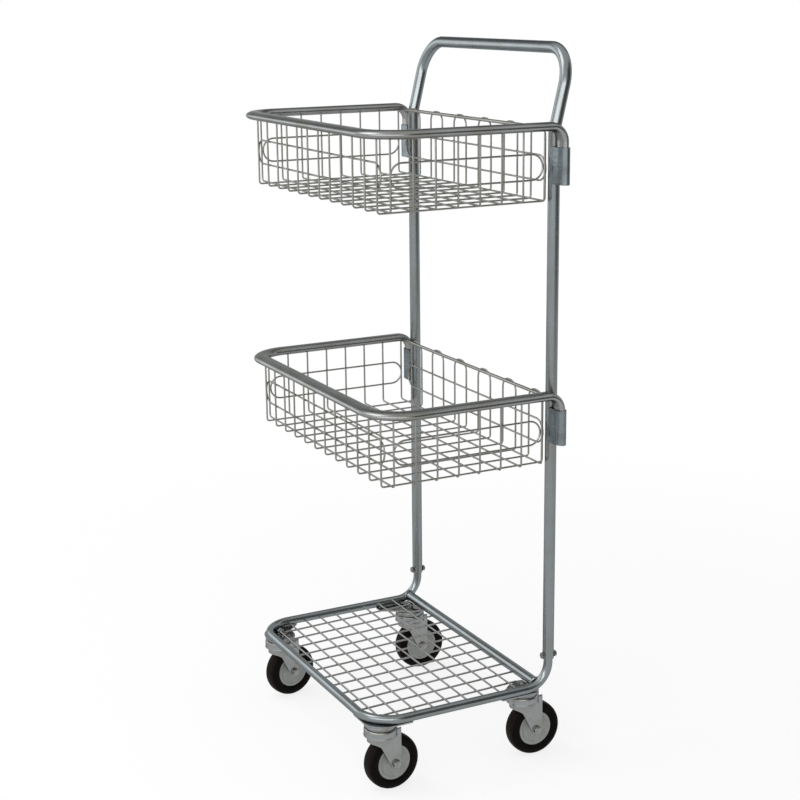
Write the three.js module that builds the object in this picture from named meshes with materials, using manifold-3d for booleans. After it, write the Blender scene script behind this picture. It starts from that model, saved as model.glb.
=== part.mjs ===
// Document trolley: a tubular push frame on four swivel castors, with a wire base and two lift-off baskets.
// Millimetres. +Z up, +Y towards the person who pushes, +X to that person's left, floor at z = 0.
// The origin is on the floor, under the middle of the overall width and depth.
import * as THREE from "three";
import { mergeVertices } from "three/addons/utils/BufferGeometryUtils.js";
import Module from "manifold-3d";

const wasm = await Module();
wasm.setup();

// Clearances
const seatGap = 0.3; // between two pieces that are welded or clamped together
const runningGap = 0.3; // round a shaft or a leg that moves in its seat
const weldBite = 0.3; // how far two crossing wires sink into each other at their weld
const cutOverrun = 5; // how far a cutting tool runs past what it cuts

// Facets
const tubeSides = 10;
const boreSides = 6;
const rimSides = 12;
const wireSides = 4;
const wheelSides = 20;
const turnedSides = 10;
const boltSides = 8;
const chordError = 1.7; // how far a facet may cut inside a bend

// Push frame: one tube, two uprights and a handle
const uprightSpacing = 500;
const uprightDiameter = 20;
const uprightWall = 1.5;
const footRise = 51; // from the middle of the base tube up to the uprights' lower ends
const handleDrop = 131; // from the handle bar down to where the uprights bend back
const handleBendRadius = 60;
const handleReach = 32; // how far the handle bar stands behind the uprights
const handleHeight = 1250; // middle of the handle bar
const handleCornerRadius = 60;

// Base frame: one tube, whose ends turn up into the uprights
const baseTubeDiameter = 16;
const baseTubeWall = 1.5;
const baseDepth = 347; // from the uprights to the front tube
const baseCornerRadius = 60;
const baseRiseRadius = 45; // bend from the base up to the uprights
const stubLength = 55; // how far the base tube reaches up inside an upright

// Rear cross tube, welded between the two bends of the base
const crossTubeDiameter = 18;
const crossTubeWall = 1.5;
const crossTubeInset = 22; // in front of the uprights

// Through bolts that pin the uprights to the base
const pinRise = 7; // over the lower ends of the uprights
const pinDiameter = 6;
const pinHeadFlats = 10;
const pinHeadThickness = 4;
const pinNutThickness = 5;
const pinThreadEnd = 1.5; // thread that shows past the nut

// Wire mesh of the base
const meshWireDiameter = 3.5;
const meshLongCount = 12;
const meshSideInset = 38.4; // from the side tube's middle to the outermost lengthwise wire
const meshCrossCount = 9;
const meshFirstCross = 61.8; // from the uprights to the rearmost cross wire
const meshFrontInset = 25.2; // from the front tube's middle to the foremost cross wire
const meshRearDrop = 5.5; // how far under the cross tube's middle the lengthwise wires meet it

// Corner plates under the base, one for each castor
const plateThickness = 3;
const frontPlateLeg = 80; // along each tube, from the corner of their middles
const rearPlateLength = 76; // along the side tube, in front of the cross tube
const rearPlateWidth = 60; // along the cross tube

// Baskets
const rimWidth = 30;
const rimDepth = 15; // height of the flat oval rim tube
const rimWall = 1.5;
const rimReach = 335; // from the uprights to the middle of the front rim
const rimCornerRadius = 60;
const rimBendRadius = 25;
const legLength = 65; // straight part of a rim end, inside its socket
const upperRimDrop = 122; // from the handle bar down to the upper basket's rim
const basketSpacing = 449.5; // from one basket's rim to the other's
const basketWireDiameter = 3;
const basketDepth = 122; // from the middle of the rim to the floor wires
const wallInset = 13; // from the middle of the rim to the wire walls
const rearWallInset = 13; // from the uprights to the rear wall
const longPitch = 44.2;
const hairpinCount = 6; // each is bent from one wire and gives two lengthwise wires
const crossCount = 8;
const crossRearInset = 25.95; // from the uprights to the rearmost cross wire
const crossFrontInset = 26.95; // from the front rim's middle to the foremost cross wire
const wireBendRadius = 5;
const rearRodDiameter = 6;
const rearRodDrop = 4; // below the middle of the rim
const archRise = 4.5; // how far the hairpins' middle line rises over the middle of the rear rod
const ringDrop = 66; // from the middle of the rim to the middle of a ring
const rearRingDrop = 70.5;
const ringHeight = 42;
const frontRingLength = 500;
const sideRingInset = 1.55; // from the outermost cross wires to the ends of a side ring

// Sockets that hold the rim ends beside the uprights
const socketSheet = 2;
const socketHeight = 70;

// Castors
const castorSideInset = 30; // from the side tube's middle to a swivel axis
const frontCastorInset = 28; // from the front tube's middle to a swivel axis
const rearCastorReach = 34; // in front of the uprights
const castorTrail = 20;
const frontLeftTurn = 4; // how far each castor stands turned
const frontRightTurn = 10;
const rearLeftTurn = -1.5;
const rearRightTurn = -2;
const tyreRadius = 50;
const tyreWidth = 30;
const treadWidth = 20;
const tyreShoulder = 4; // how far the shoulder lies below the tread
const tyreSeatWidth = 27;
const wheelRadius = 32.3; // where the tyre sits
const wheelDiscWidth = 24;
const hubRadius = 10;
const hubWidth = 31;
const axleRadius = 4;
const axleHeadFlats = 13;
const axleHeadThickness = 5;
const axleNutThickness = 6.5;
const axleThreadEnd = 2;
const forkGap = 32; // between the fork's legs
const forkSheet = 2.5;
const forkFoot = 8; // radius of the leg's round end at the axle
const skirtSetback = 6; // from the swivel axis to where the fork's round front begins
const skirtHeight = 11; // how far the round front reaches down under the crown
const crownClearance = 4.2; // from the tyre up to the crown
const crownRadius = 30;
const crownEdge = 3;
const crownHeight = 14.5;
const kingPinRadius = 6;
const kingPinHeadRadius = 9;
const kingPinHeadThickness = 2;
const raceRadius = 29;
const raceHeight = 8.4;
const raceEdge = 3;
const stemRadius = 4;
const stemNutFlats = 13;
const stemNutThickness = 6.5;
const stemThreadEnd = 2;

// Places that follow from the sizes above
const uprightX = uprightSpacing / 2;
const uprightRadius = uprightDiameter / 2;
const baseTubeRadius = baseTubeDiameter / 2;
const crossTubeRadius = crossTubeDiameter / 2;
const axleHeight = tyreRadius;
const crownBottom = tyreRadius * 2 + crownClearance;
const crownTop = crownBottom + crownHeight;
const raceBottom = crownTop + seatGap;
const raceTop = raceBottom + raceHeight;
const plateBottom = raceTop + seatGap;
const plateTop = plateBottom + plateThickness;
const baseHeight = plateTop + seatGap + baseTubeRadius; // middle of the base tube
const uprightFoot = baseHeight + footRise;
const pinHeight = uprightFoot + pinRise;
const handleBendHeight = handleHeight - handleDrop;
const upperRimHeight = handleHeight - upperRimDrop;
const lowerRimHeight = upperRimHeight - basketSpacing;
const rimX = uprightX + uprightRadius + runningGap + rimWidth / 2;
const crossSpan = rimReach - crossFrontInset - crossRearInset; // from the rearmost to the foremost
const crossMiddle = crossRearInset + crossSpan / 2;
const castorSpread = uprightX - castorSideInset;
const frontCastorReach = baseDepth - frontCastorInset;
const modelFront = -baseDepth - baseTubeRadius;
const modelRear = handleReach + uprightRadius;
const sides = { left: 1, right: -1 };

// Finishes
const finish = (color, roughness, metalness) =>
  new THREE.MeshStandardMaterial({ color, roughness, metalness });
const zincTube = finish(0x87908f, 0.35, 0.9);
const zincRim = finish(0x7b7f7c, 0.4, 0.9);
const zincWire = finish(0x85857d, 0.4, 0.9);
const pressedZinc = finish(0x9aa0a0, 0.45, 0.85);
const boltSteel = finish(0x6e6f6b, 0.4, 0.9);
const greyPlastic = finish(0x8d918e, 0.6, 0);
const blackRubber = finish(0x1a1715, 0.8, 0);

const vec = (x, y, z) => new THREE.Vector3(x, y, z);

// A bent centreline: straight runs joined by arcs, with stations only where it starts, bends or ends.
class Route extends THREE.Curve {
  constructor(corners, radii = []) {
    super();
    this.points = [];
    this.tangents = [];
    const last = corners.length - 1;
    this.addStation(corners[0], corners[1].clone().sub(corners[0]));
    for (let i = 1; i < last; i++) {
      this.addArc(corners[i - 1], corners[i], corners[i + 1], radii[i - 1]);
    }
    this.addStation(corners[last], corners[last].clone().sub(corners[last - 1]));
  }

  get steps() {
    return this.points.length - 1;
  }

  addStation(point, direction) {
    this.points.push(point.clone());
    this.tangents.push(direction.clone().normalize());
  }

  addArc(before, corner, after, radius) {
    const back = before.clone().sub(corner).normalize();
    const ahead = after.clone().sub(corner).normalize();
    const turn = Math.PI - back.angleTo(ahead);
    const start = corner.clone().addScaledVector(back, radius * Math.tan(turn / 2));
    const axis = back.clone().cross(ahead).normalize();
    const toCentre = axis.clone().cross(back).multiplyScalar(radius);
    const centre = start.clone().add(toCentre);
    const steps = Math.ceil(turn / (Math.acos(1 - chordError / radius) * 2));
    const previous = this.points[this.points.length - 1];
    const first = previous.distanceTo(start) < seatGap ? 1 : 0;
    for (let k = first; k <= steps; k++) {
      const angle = (-turn * k) / steps;
      const spoke = toCentre.clone().negate().applyAxisAngle(axis, angle);
      this.addStation(centre.clone().add(spoke), back.clone().negate().applyAxisAngle(axis, angle));
    }
  }

  getPointAt(share, target = new THREE.Vector3()) {
    return target.copy(this.points[Math.round(share * this.steps)]);
  }

  getTangentAt(share, target = new THREE.Vector3()) {
    return target.copy(this.tangents[Math.round(share * this.steps)]);
  }
}

// The points of an oval with the given half sizes, starting on its first axis.
function ovalPoints(halfA, halfB, count, phase = 0) {
  const points = [];
  for (let i = 0; i < count; i++) {
    const angle = phase + (i / count) * Math.PI * 2;
    points.push(new THREE.Vector2(halfA * Math.cos(angle), halfB * Math.sin(angle)));
  }
  return points;
}

function ovalSection(halfA, halfB, count) {
  return new THREE.Shape(ovalPoints(halfA, halfB, count));
}

function hollowSection(halfA, halfB, count, wall, boreCount) {
  const section = ovalSection(halfA, halfB, count);
  section.holes.push(new THREE.Path(ovalPoints(halfA - wall, halfB - wall, boreCount)));
  return section;
}

function wireSection(diameter) {
  return ovalSection(diameter / 2, diameter / 2, wireSides);
}

// Keeps only the positions, joins shared vertices and turns the faces outwards.
function closed(geometry) {
  const bare = new THREE.BufferGeometry();
  bare.setAttribute("position", geometry.getAttribute("position"));
  bare.setIndex(geometry.index);
  const merged = mergeVertices(bare);
  return signedVolume(merged) < 0 ? flipped(merged) : merged;
}

function signedVolume(geometry) {
  const position = geometry.getAttribute("position");
  const index = geometry.index;
  const corner = [new THREE.Vector3(), new THREE.Vector3(), new THREE.Vector3()];
  let sum = 0;
  for (let i = 0; i < index.count; i += 3) {
    corner.forEach((point, k) => point.fromBufferAttribute(position, index.getX(i + k)));
    sum += corner[0].dot(corner[1].cross(corner[2])) / 6;
  }
  return sum;
}

function flipped(geometry) {
  const order = Array.from(geometry.index.array);
  for (let i = 0; i < order.length; i += 3) {
    [order[i + 1], order[i + 2]] = [order[i + 2], order[i + 1]];
  }
  geometry.setIndex(order);
  return geometry;
}

function solidOf(geometry) {
  const mesh = closed(geometry);
  const vertProperties = new Float32Array(mesh.getAttribute("position").array);
  const triVerts = new Uint32Array(mesh.index.array);
  return new wasm.Manifold(new wasm.Mesh({ numProp: 3, vertProperties, triVerts }));
}

function geometryOf(solid) {
  const mesh = solid.getMesh();
  const geometry = new THREE.BufferGeometry();
  geometry.setAttribute("position", new THREE.BufferAttribute(mesh.vertProperties, 3));
  geometry.setIndex(new THREE.BufferAttribute(mesh.triVerts, 1));
  return geometry;
}

function union(geometries) {
  const [first, ...rest] = geometries.map(solidOf);
  return geometryOf(rest.reduce((sum, solid) => sum.add(solid), first));
}

function cut(geometry, tools) {
  return geometryOf(tools.map(solidOf).reduce((left, tool) => left.subtract(tool), solidOf(geometry)));
}

// A tube or wire of the given section along a route.
function swept(route, section) {
  const options = { extrudePath: route, steps: route.steps, bevelEnabled: false };
  return new THREE.ExtrudeGeometry(section, options);
}

// A wire loop: the swept wall without its two end faces, which meet each other.
function sweptLoop(route, section) {
  const whole = swept(route, section);
  const wall = whole.groups.find((group) => group.materialIndex === 1);
  const all = whole.getAttribute("position").array;
  const kept = all.slice(wall.start * 3, (wall.start + wall.count) * 3);
  const loop = new THREE.BufferGeometry();
  loop.setAttribute("position", new THREE.BufferAttribute(kept, 3));
  return loop;
}

// A flat piece with its outline in X and Y, from one height up to another.
function upright(shape, low, high) {
  const options = { depth: high - low, bevelEnabled: false, curveSegments: 4 };
  return new THREE.ExtrudeGeometry(shape, options).translate(0, 0, low);
}

// A round piece about Z; the profile holds radius and height pairs and closes on itself.
function turned(profile, count, phase = 0) {
  const points = profile.map(([radius, height]) => new THREE.Vector2(radius, height));
  points.push(points[0].clone());
  return new THREE.LatheGeometry(points, count, phase).rotateX(Math.PI / 2);
}

// A round bar along Z between two heights.
function bar(radius, low, high, count = turnedSides) {
  const geometry = new THREE.CylinderGeometry(radius, radius, high - low, count);
  return geometry.rotateX(Math.PI / 2).translate(0, 0, (high + low) / 2);
}

// The corner radius of a regular outline whose flats lie at the given radius.
function cornerRadius(flatRadius, count) {
  return flatRadius / Math.cos(Math.PI / count);
}

// A hole round a shaft, as an outline that clears the shaft everywhere.
function holeAround(shaftRadius, x, y) {
  const radius = cornerRadius(shaftRadius + runningGap, boltSides);
  const points = ovalPoints(radius, radius, boltSides);
  points.forEach((point) => point.add(new THREE.Vector2(x, y)));
  return new THREE.Path(points);
}

function hexShape(flats) {
  const radius = cornerRadius(flats / 2, 6);
  return new THREE.Shape(ovalPoints(radius, radius, 6));
}

// A bolt along Z: a hexagon head from z = 0 up, and a shank down from it.
function bolt(radius, flats, headThickness, length) {
  const head = upright(hexShape(flats), 0, headThickness);
  return union([head, bar(radius, -length, headThickness / 2, boltSides)]);
}

// A hexagon nut along Z, from z = 0 up.
function nut(boltRadius, flats, thickness) {
  const shape = hexShape(flats);
  shape.holes.push(holeAround(boltRadius, 0, 0));
  return upright(shape, 0, thickness);
}

function addPiece(parent, name, geometry, material) {
  const mesh = new THREE.Mesh(closed(geometry), material);
  mesh.name = name;
  parent.add(mesh);
  return mesh;
}

// The hole that a through bolt takes across a tube end, along Y.
function pinHole(side) {
  const reach = uprightRadius + cutOverrun;
  const hole = bar(cornerRadius(pinDiameter / 2 + runningGap, turnedSides), -reach, reach);
  return hole.rotateX(Math.PI / 2).translate(side * uprightX, 0, pinHeight);
}

function buildPushFrame(parent) {
  const corners = [
    vec(-uprightX, 0, uprightFoot),
    vec(-uprightX, 0, handleBendHeight),
    vec(-uprightX, handleReach, handleHeight),
    vec(uprightX, handleReach, handleHeight),
    vec(uprightX, 0, handleBendHeight),
    vec(uprightX, 0, uprightFoot),
  ];
  const radii = [handleBendRadius, handleCornerRadius, handleCornerRadius, handleBendRadius];
  const section = hollowSection(uprightRadius, uprightRadius, tubeSides, uprightWall, tubeSides);
  const tube = swept(new Route(corners, radii), section);
  addPiece(parent, "push_frame", cut(tube, [pinHole(sides.left), pinHole(sides.right)]), zincTube);
}

function baseRoute() {
  const stubTop = uprightFoot + stubLength;
  const corners = [
    vec(-uprightX, 0, stubTop),
    vec(-uprightX, 0, baseHeight),
    vec(-uprightX, -baseDepth, baseHeight),
    vec(uprightX, -baseDepth, baseHeight),
    vec(uprightX, 0, baseHeight),
    vec(uprightX, 0, stubTop),
  ];
  const radii = [baseRiseRadius, baseCornerRadius, baseCornerRadius, baseRiseRadius];
  return new Route(corners, radii);
}

// The cross tube's middle lies on the middle line of the two bends, so that its ends meet them squarely.
function crossTubeHeight() {
  const forward = baseRiseRadius - crossTubeInset;
  return baseHeight + baseRiseRadius - Math.sqrt(baseRiseRadius ** 2 - forward ** 2);
}

function buildBase(parent) {
  const section = hollowSection(baseTubeRadius, baseTubeRadius, tubeSides, baseTubeWall, boreSides);
  const frame = cut(swept(baseRoute(), section), [pinHole(sides.left), pinHole(sides.right)]);
  addPiece(parent, "base_frame", frame, zincTube);

  const crossSection = hollowSection(crossTubeRadius, crossTubeRadius, tubeSides, crossTubeWall, boreSides);
  const ends = [-uprightX, uprightX].map((x) => vec(x, -crossTubeInset, crossTubeHeight()));
  const cope = baseTubeRadius + seatGap;
  const sideTube = swept(baseRoute(), ovalSection(cope, cope, tubeSides));
  addPiece(parent, "rear_cross_tube", cut(swept(new Route(ends), crossSection), [sideTube]), zincTube);

  for (const [name, side] of Object.entries(sides)) {
    const place = new THREE.Group();
    place.position.set(side * uprightX, 0, pinHeight);
    place.rotation.x = Math.PI / 2;
    parent.add(place);
    const seat = uprightRadius + seatGap;
    const grip = seat * 2 + pinNutThickness + pinThreadEnd;
    const pinShape = bolt(pinDiameter / 2, pinHeadFlats, pinHeadThickness, grip);
    const pin = addPiece(place, `upright_bolt_${name}`, pinShape, boltSteel);
    pin.position.z = seat;
    const pinNutShape = nut(pinDiameter / 2, pinHeadFlats, pinNutThickness);
    const pinNut = addPiece(place, `upright_nut_${name}`, pinNutShape, boltSteel);
    pinNut.position.z = -seat - pinNutThickness;
  }
}

// How far a wire's end stays from the middle of a tube that it meets at the given height off that middle.
function tubeFace(tubeRadius, offset) {
  const away = Math.max(0, Math.abs(offset) - meshWireDiameter / 2);
  return Math.sqrt((tubeRadius + seatGap) ** 2 - away ** 2);
}

// How far the base tube's front bend has drawn its middle line in, at a given way into the bend.
function bendInset(way) {
  return baseCornerRadius - Math.sqrt(baseCornerRadius ** 2 - Math.max(0, way) ** 2);
}

// The lengthwise wires rise a little from the front plates to the cross tube. The cross wires lie on them.
function buildMesh(parent) {
  const radius = meshWireDiameter / 2;
  const section = wireSection(meshWireDiameter);
  const frontZ = plateTop + seatGap + radius;
  const rearZ = crossTubeHeight() - meshRearDrop;
  const frontY = -baseDepth + tubeFace(baseTubeRadius, baseHeight - frontZ);
  const rearY = -crossTubeInset - tubeFace(crossTubeRadius, meshRearDrop);
  const heightAt = (y) => THREE.MathUtils.mapLinear(y, frontY, rearY, frontZ, rearZ);
  const bendStart = { x: uprightX - baseCornerRadius, y: baseDepth - baseCornerRadius };
  const nutReach = cornerRadius(stemNutFlats / 2, 6) + seatGap;
  const wires = [];
  for (let i = 0; i < meshLongCount; i++) {
    const x = THREE.MathUtils.lerp(-1, 1, i / (meshLongCount - 1)) * (uprightX - meshSideInset);
    const besideNut = Math.abs(Math.abs(x) - castorSpread) < nutReach + radius;
    const front = besideNut ? -frontCastorReach + nutReach : frontY + bendInset(Math.abs(x) - bendStart.x);
    const rear = besideNut ? -rearCastorReach - nutReach : rearY;
    wires.push(swept(new Route([vec(x, front, heightAt(front)), vec(x, rear, heightAt(rear))]), section));
  }
  for (let i = 0; i < meshCrossCount; i++) {
    const share = i / (meshCrossCount - 1);
    const y = -THREE.MathUtils.lerp(meshFirstCross, baseDepth - meshFrontInset, share);
    const z = heightAt(y) + meshWireDiameter - weldBite;
    const besideNut = Math.abs(-y - frontCastorReach) < nutReach + radius;
    const end = besideNut ? castorSpread - nutReach : uprightX - bendInset(-y - bendStart.y);
    wires.push(swept(new Route([vec(-end, y, z), vec(end, y, z)]), section));
  }
  const cope = baseTubeRadius + seatGap;
  const sideTube = swept(baseRoute(), ovalSection(cope, cope, tubeSides));
  addPiece(parent, "base_mesh", cut(union(wires), [sideTube]), zincWire);
}

// A corner plate lies under the tubes, with a hole for the castor's stem.
function cornerPlate(outline, reach) {
  const shape = new THREE.Shape(outline.map(([x, y]) => new THREE.Vector2(x, y)));
  shape.holes.push(holeAround(stemRadius, castorSpread, -reach));
  return upright(shape, plateBottom, plateTop);
}

function buildPlates(parent) {
  const corners = [
    vec(uprightX, -baseDepth + frontPlateLeg, 0),
    vec(uprightX, -baseDepth, 0),
    vec(uprightX - frontPlateLeg, -baseDepth, 0),
  ];
  const bend = new Route(corners, [baseCornerRadius]);
  const frontOutline = bend.points.map((point) => [point.x, point.y]);
  const rearEdge = -crossTubeInset;
  const rearOutline = [
    [uprightX, rearEdge],
    [uprightX, rearEdge - rearPlateLength],
    [uprightX - baseTubeDiameter, rearEdge - rearPlateLength],
    [uprightX - rearPlateWidth, rearEdge - crossTubeRadius],
    [uprightX - rearPlateWidth, rearEdge],
  ];
  for (const [name, side] of Object.entries(sides)) {
    const front = cornerPlate(frontOutline, frontCastorReach).scale(side, 1, 1);
    const rear = cornerPlate(rearOutline, rearCastorReach).scale(side, 1, 1);
    addPiece(parent, `corner_plate_front_${name}`, front, pressedZinc);
    addPiece(parent, `corner_plate_rear_${name}`, rear, pressedZinc);
  }
}

// The strip that forms a socket: round the outer half of the rim end, then straight back to the upright.
function socketOutline() {
  const half = [];
  const steps = rimSides / 2;
  const inner = { a: rimWidth / 2 + runningGap, b: rimDepth / 2 + runningGap };
  const outer = { a: inner.a + socketSheet, b: inner.b + socketSheet };
  const foot = Math.sqrt((uprightRadius + seatGap) ** 2 - inner.b ** 2) - (rimX - uprightX);
  const arc = (oval, from, to) => {
    for (let i = 0; i <= steps; i++) {
      const angle = (from + ((to - from) * i) / steps) * (Math.PI / 2);
      half.push(new THREE.Vector2(oval.a * Math.cos(angle), oval.b * Math.sin(angle)));
    }
  };
  half.push(new THREE.Vector2(foot, -outer.b));
  arc(outer, -1, 1);
  half.push(new THREE.Vector2(foot, outer.b));
  half.push(new THREE.Vector2(foot, inner.b));
  arc(inner, 1, -1);
  half.push(new THREE.Vector2(foot, -inner.b));
  return new THREE.Shape(half);
}

function buildSockets(parent, basketName, rimHeight) {
  const top = rimHeight - rimBendRadius - seatGap;
  for (const [name, side] of Object.entries(sides)) {
    const sleeve = upright(socketOutline(), top - socketHeight, top).translate(rimX, 0, 0).scale(side, 1, 1);
    addPiece(parent, `${basketName}_socket_${name}`, sleeve, pressedZinc);
  }
}

// How far a place under the rim lies from the rim's middle line, seen from above.
function rimOffset(x, y) {
  const centreX = rimX - rimCornerRadius;
  const centreY = -rimReach + rimCornerRadius;
  const overX = Math.abs(x) - centreX;
  const overY = centreY - y;
  if (overX > 0 && overY > 0) return rimCornerRadius - Math.hypot(overX, overY);
  return overX > 0 ? rimX - Math.abs(x) : y + rimReach;
}

// The height of a wire's top end under the oval rim, from the rim's middle.
function wireTop(x, y) {
  const offset = Math.max(0, Math.abs(rimOffset(x, y)) - basketWireDiameter / 2);
  const drop = (rimDepth / 2) * Math.sqrt(Math.max(0, 1 - (offset / (rimWidth / 2)) ** 2));
  return -drop - seatGap;
}

function hairpin(x) {
  const frontY = -rimReach + wallInset;
  const rearY = -rearWallInset;
  const arch = archRise - rearRodDrop;
  const far = x + longPitch;
  const corners = [
    vec(x, frontY, wireTop(x, frontY)),
    vec(x, frontY, -basketDepth),
    vec(x, rearY, -basketDepth),
    vec(x, rearY, arch),
    vec(far, rearY, arch),
    vec(far, rearY, -basketDepth),
    vec(far, frontY, -basketDepth),
    vec(far, frontY, wireTop(far, frontY)),
  ];
  const bend = wireBendRadius;
  const radii = [bend, bend, longPitch / 2, longPitch / 2, bend, bend];
  return swept(new Route(corners, radii), wireSection(basketWireDiameter));
}

function crossWire(y) {
  const x = rimX - wallInset;
  const top = wireTop(x, y);
  const low = -basketDepth - basketWireDiameter + weldBite;
  const corners = [vec(-x, y, top), vec(-x, y, low), vec(x, y, low), vec(x, y, top)];
  const radii = [wireBendRadius, wireBendRadius];
  return swept(new Route(corners, radii), wireSection(basketWireDiameter));
}

// A ring of wire with round ends, flat in the plane of a wall; its length runs along X.
function ring(length) {
  const half = length / 2;
  const rise = ringHeight / 2;
  const corners = [
    vec(0, 0, -rise),
    vec(half, 0, -rise),
    vec(half, 0, rise),
    vec(-half, 0, rise),
    vec(-half, 0, -rise),
    vec(0, 0, -rise),
  ];
  const radii = [rise, rise, rise, rise];
  return sweptLoop(new Route(corners, radii), wireSection(basketWireDiameter));
}

function buildBasket(parent, name, rimHeight) {
  const basket = new THREE.Group();
  basket.position.z = rimHeight;
  parent.add(basket);

  const legEnd = -rimBendRadius - legLength;
  const corners = [
    vec(-rimX, 0, legEnd),
    vec(-rimX, 0, 0),
    vec(-rimX, -rimReach, 0),
    vec(rimX, -rimReach, 0),
    vec(rimX, 0, 0),
    vec(rimX, 0, legEnd),
  ];
  const radii = [rimBendRadius, rimCornerRadius, rimCornerRadius, rimBendRadius];
  const section = hollowSection(rimDepth / 2, rimWidth / 2, rimSides, rimWall, boreSides);
  addPiece(basket, `${name}_rim`, swept(new Route(corners, radii), section), zincRim);

  const wires = [];
  for (let i = 0; i < hairpinCount; i++) {
    wires.push(hairpin((i * 2 - hairpinCount + 0.5) * longPitch));
  }
  for (let i = 0; i < crossCount; i++) {
    const share = i / (crossCount - 1);
    wires.push(crossWire(-crossRearInset - share * crossSpan));
  }
  addPiece(basket, `${name}_wires`, union(wires), zincWire);

  const rodEnd = rimX - rimWidth / 2 - seatGap;
  const rod = bar(rearRodDiameter / 2, -rodEnd, rodEnd, wireSides * 2);
  const rodInset = rearWallInset + basketWireDiameter / 2 + seatGap + rearRodDiameter / 2;
  rod.rotateY(Math.PI / 2).translate(0, -rodInset, -rearRodDrop);
  addPiece(basket, `${name}_rear_rod`, rod, zincWire);

  const inside = basketWireDiameter + seatGap;
  const frontRing = addPiece(basket, `${name}_ring_front`, ring(frontRingLength), zincWire);
  frontRing.position.set(0, -rimReach + wallInset + inside, -ringDrop);
  const rearRing = addPiece(basket, `${name}_ring_rear`, ring(frontRingLength), zincWire);
  rearRing.position.set(0, -rearWallInset - inside, -rearRingDrop);
  const sideRingLength = crossSpan - sideRingInset * 2;
  for (const [sideName, side] of Object.entries(sides)) {
    const sideRing = addPiece(basket, `${name}_ring_${sideName}`, ring(sideRingLength), zincWire);
    sideRing.rotation.z = Math.PI / 2;
    sideRing.position.set(side * (rimX - wallInset - inside), -crossMiddle, -ringDrop);
  }
}

// The castor's fixed half: ball race, king pin and the stem that goes up through the corner plate.
function castorHead() {
  const stemTop = plateTop + seatGap + stemNutThickness + stemThreadEnd;
  const pinHead = crownBottom - seatGap;
  const profile = [
    [0, pinHead - kingPinHeadThickness],
    [kingPinHeadRadius, pinHead - kingPinHeadThickness],
    [kingPinHeadRadius, pinHead],
    [kingPinRadius, pinHead],
    [kingPinRadius, raceBottom],
    [raceRadius - raceEdge, raceBottom],
    [raceRadius, raceBottom + raceEdge],
    [raceRadius, raceTop],
    [stemRadius, raceTop],
    [stemRadius, stemTop],
    [0, stemTop],
  ];
  return turned(profile, turnedSides);
}

// One leg of the fork, drawn from the side and set at the given distance from the middle. Its rear edge is
// upright, and its front edge slants from the round front down to the foot.
function forkLeg(inner) {
  const low = crownBottom - skirtHeight;
  const ahead = -skirtSetback - castorTrail;
  const rise = low - axleHeight;
  const footStart = Math.atan2(rise, ahead) + Math.acos(forkFoot / Math.hypot(ahead, rise));
  const shape = new THREE.Shape();
  shape.moveTo(-skirtSetback, crownTop - crownEdge);
  shape.lineTo(-skirtSetback, low);
  shape.absarc(castorTrail, axleHeight, forkFoot, footStart, Math.PI * 2, false);
  shape.lineTo(castorTrail + forkFoot, crownTop - crownEdge);
  shape.holes.push(holeAround(axleRadius, castorTrail, axleHeight));
  const leg = new THREE.ExtrudeGeometry(shape, { depth: forkSheet, bevelEnabled: false, curveSegments: 5 });
  return leg.rotateX(Math.PI / 2).rotateZ(Math.PI / 2).translate(inner, 0, 0);
}

// The sheet that goes round in front of the tyre, from one leg to the other.
function forkSkirt() {
  const inner = forkGap / 2;
  const outer = inner + forkSheet;
  const shape = new THREE.Shape();
  shape.moveTo(-outer, -skirtSetback);
  shape.absarc(0, -skirtSetback, outer, Math.PI, Math.PI * 2, false);
  shape.lineTo(inner, -skirtSetback);
  shape.absarc(0, -skirtSetback, inner, Math.PI * 2, Math.PI, true);
  return upright(shape, crownBottom - skirtHeight, crownTop - crownEdge);
}

function castorFork() {
  const bore = cornerRadius(kingPinRadius + runningGap, turnedSides);
  const crown = turned(
    [
      [bore, crownBottom],
      [crownRadius - crownEdge, crownBottom],
      [crownRadius, crownBottom + crownEdge],
      [crownRadius, crownTop - crownEdge],
      [crownRadius - crownEdge, crownTop],
      [bore, crownTop],
    ],
    turnedSides,
  );
  return union([crown, forkSkirt(), forkLeg(forkGap / 2), forkLeg(-forkGap / 2 - forkSheet)]);
}

function wheelCentre() {
  const bore = cornerRadius(axleRadius + runningGap, wheelSides);
  const disc = wheelDiscWidth / 2;
  const hub = hubWidth / 2;
  const profile = [
    [bore, -hub],
    [hubRadius, -hub],
    [wheelRadius, -disc],
    [wheelRadius, disc],
    [hubRadius, hub],
    [bore, hub],
  ];
  return turned(profile, wheelSides, Math.PI / wheelSides);
}

function tyre() {
  const seat = wheelRadius + seatGap;
  const tread = cornerRadius(tyreRadius, wheelSides);
  const shoulder = cornerRadius(tyreRadius - tyreShoulder, wheelSides);
  const profile = [
    [seat, -tyreSeatWidth / 2],
    [shoulder, -tyreWidth / 2],
    [tread, -treadWidth / 2],
    [tread, treadWidth / 2],
    [shoulder, tyreWidth / 2],
    [seat, tyreSeatWidth / 2],
  ];
  return turned(profile, wheelSides, Math.PI / wheelSides);
}

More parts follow.
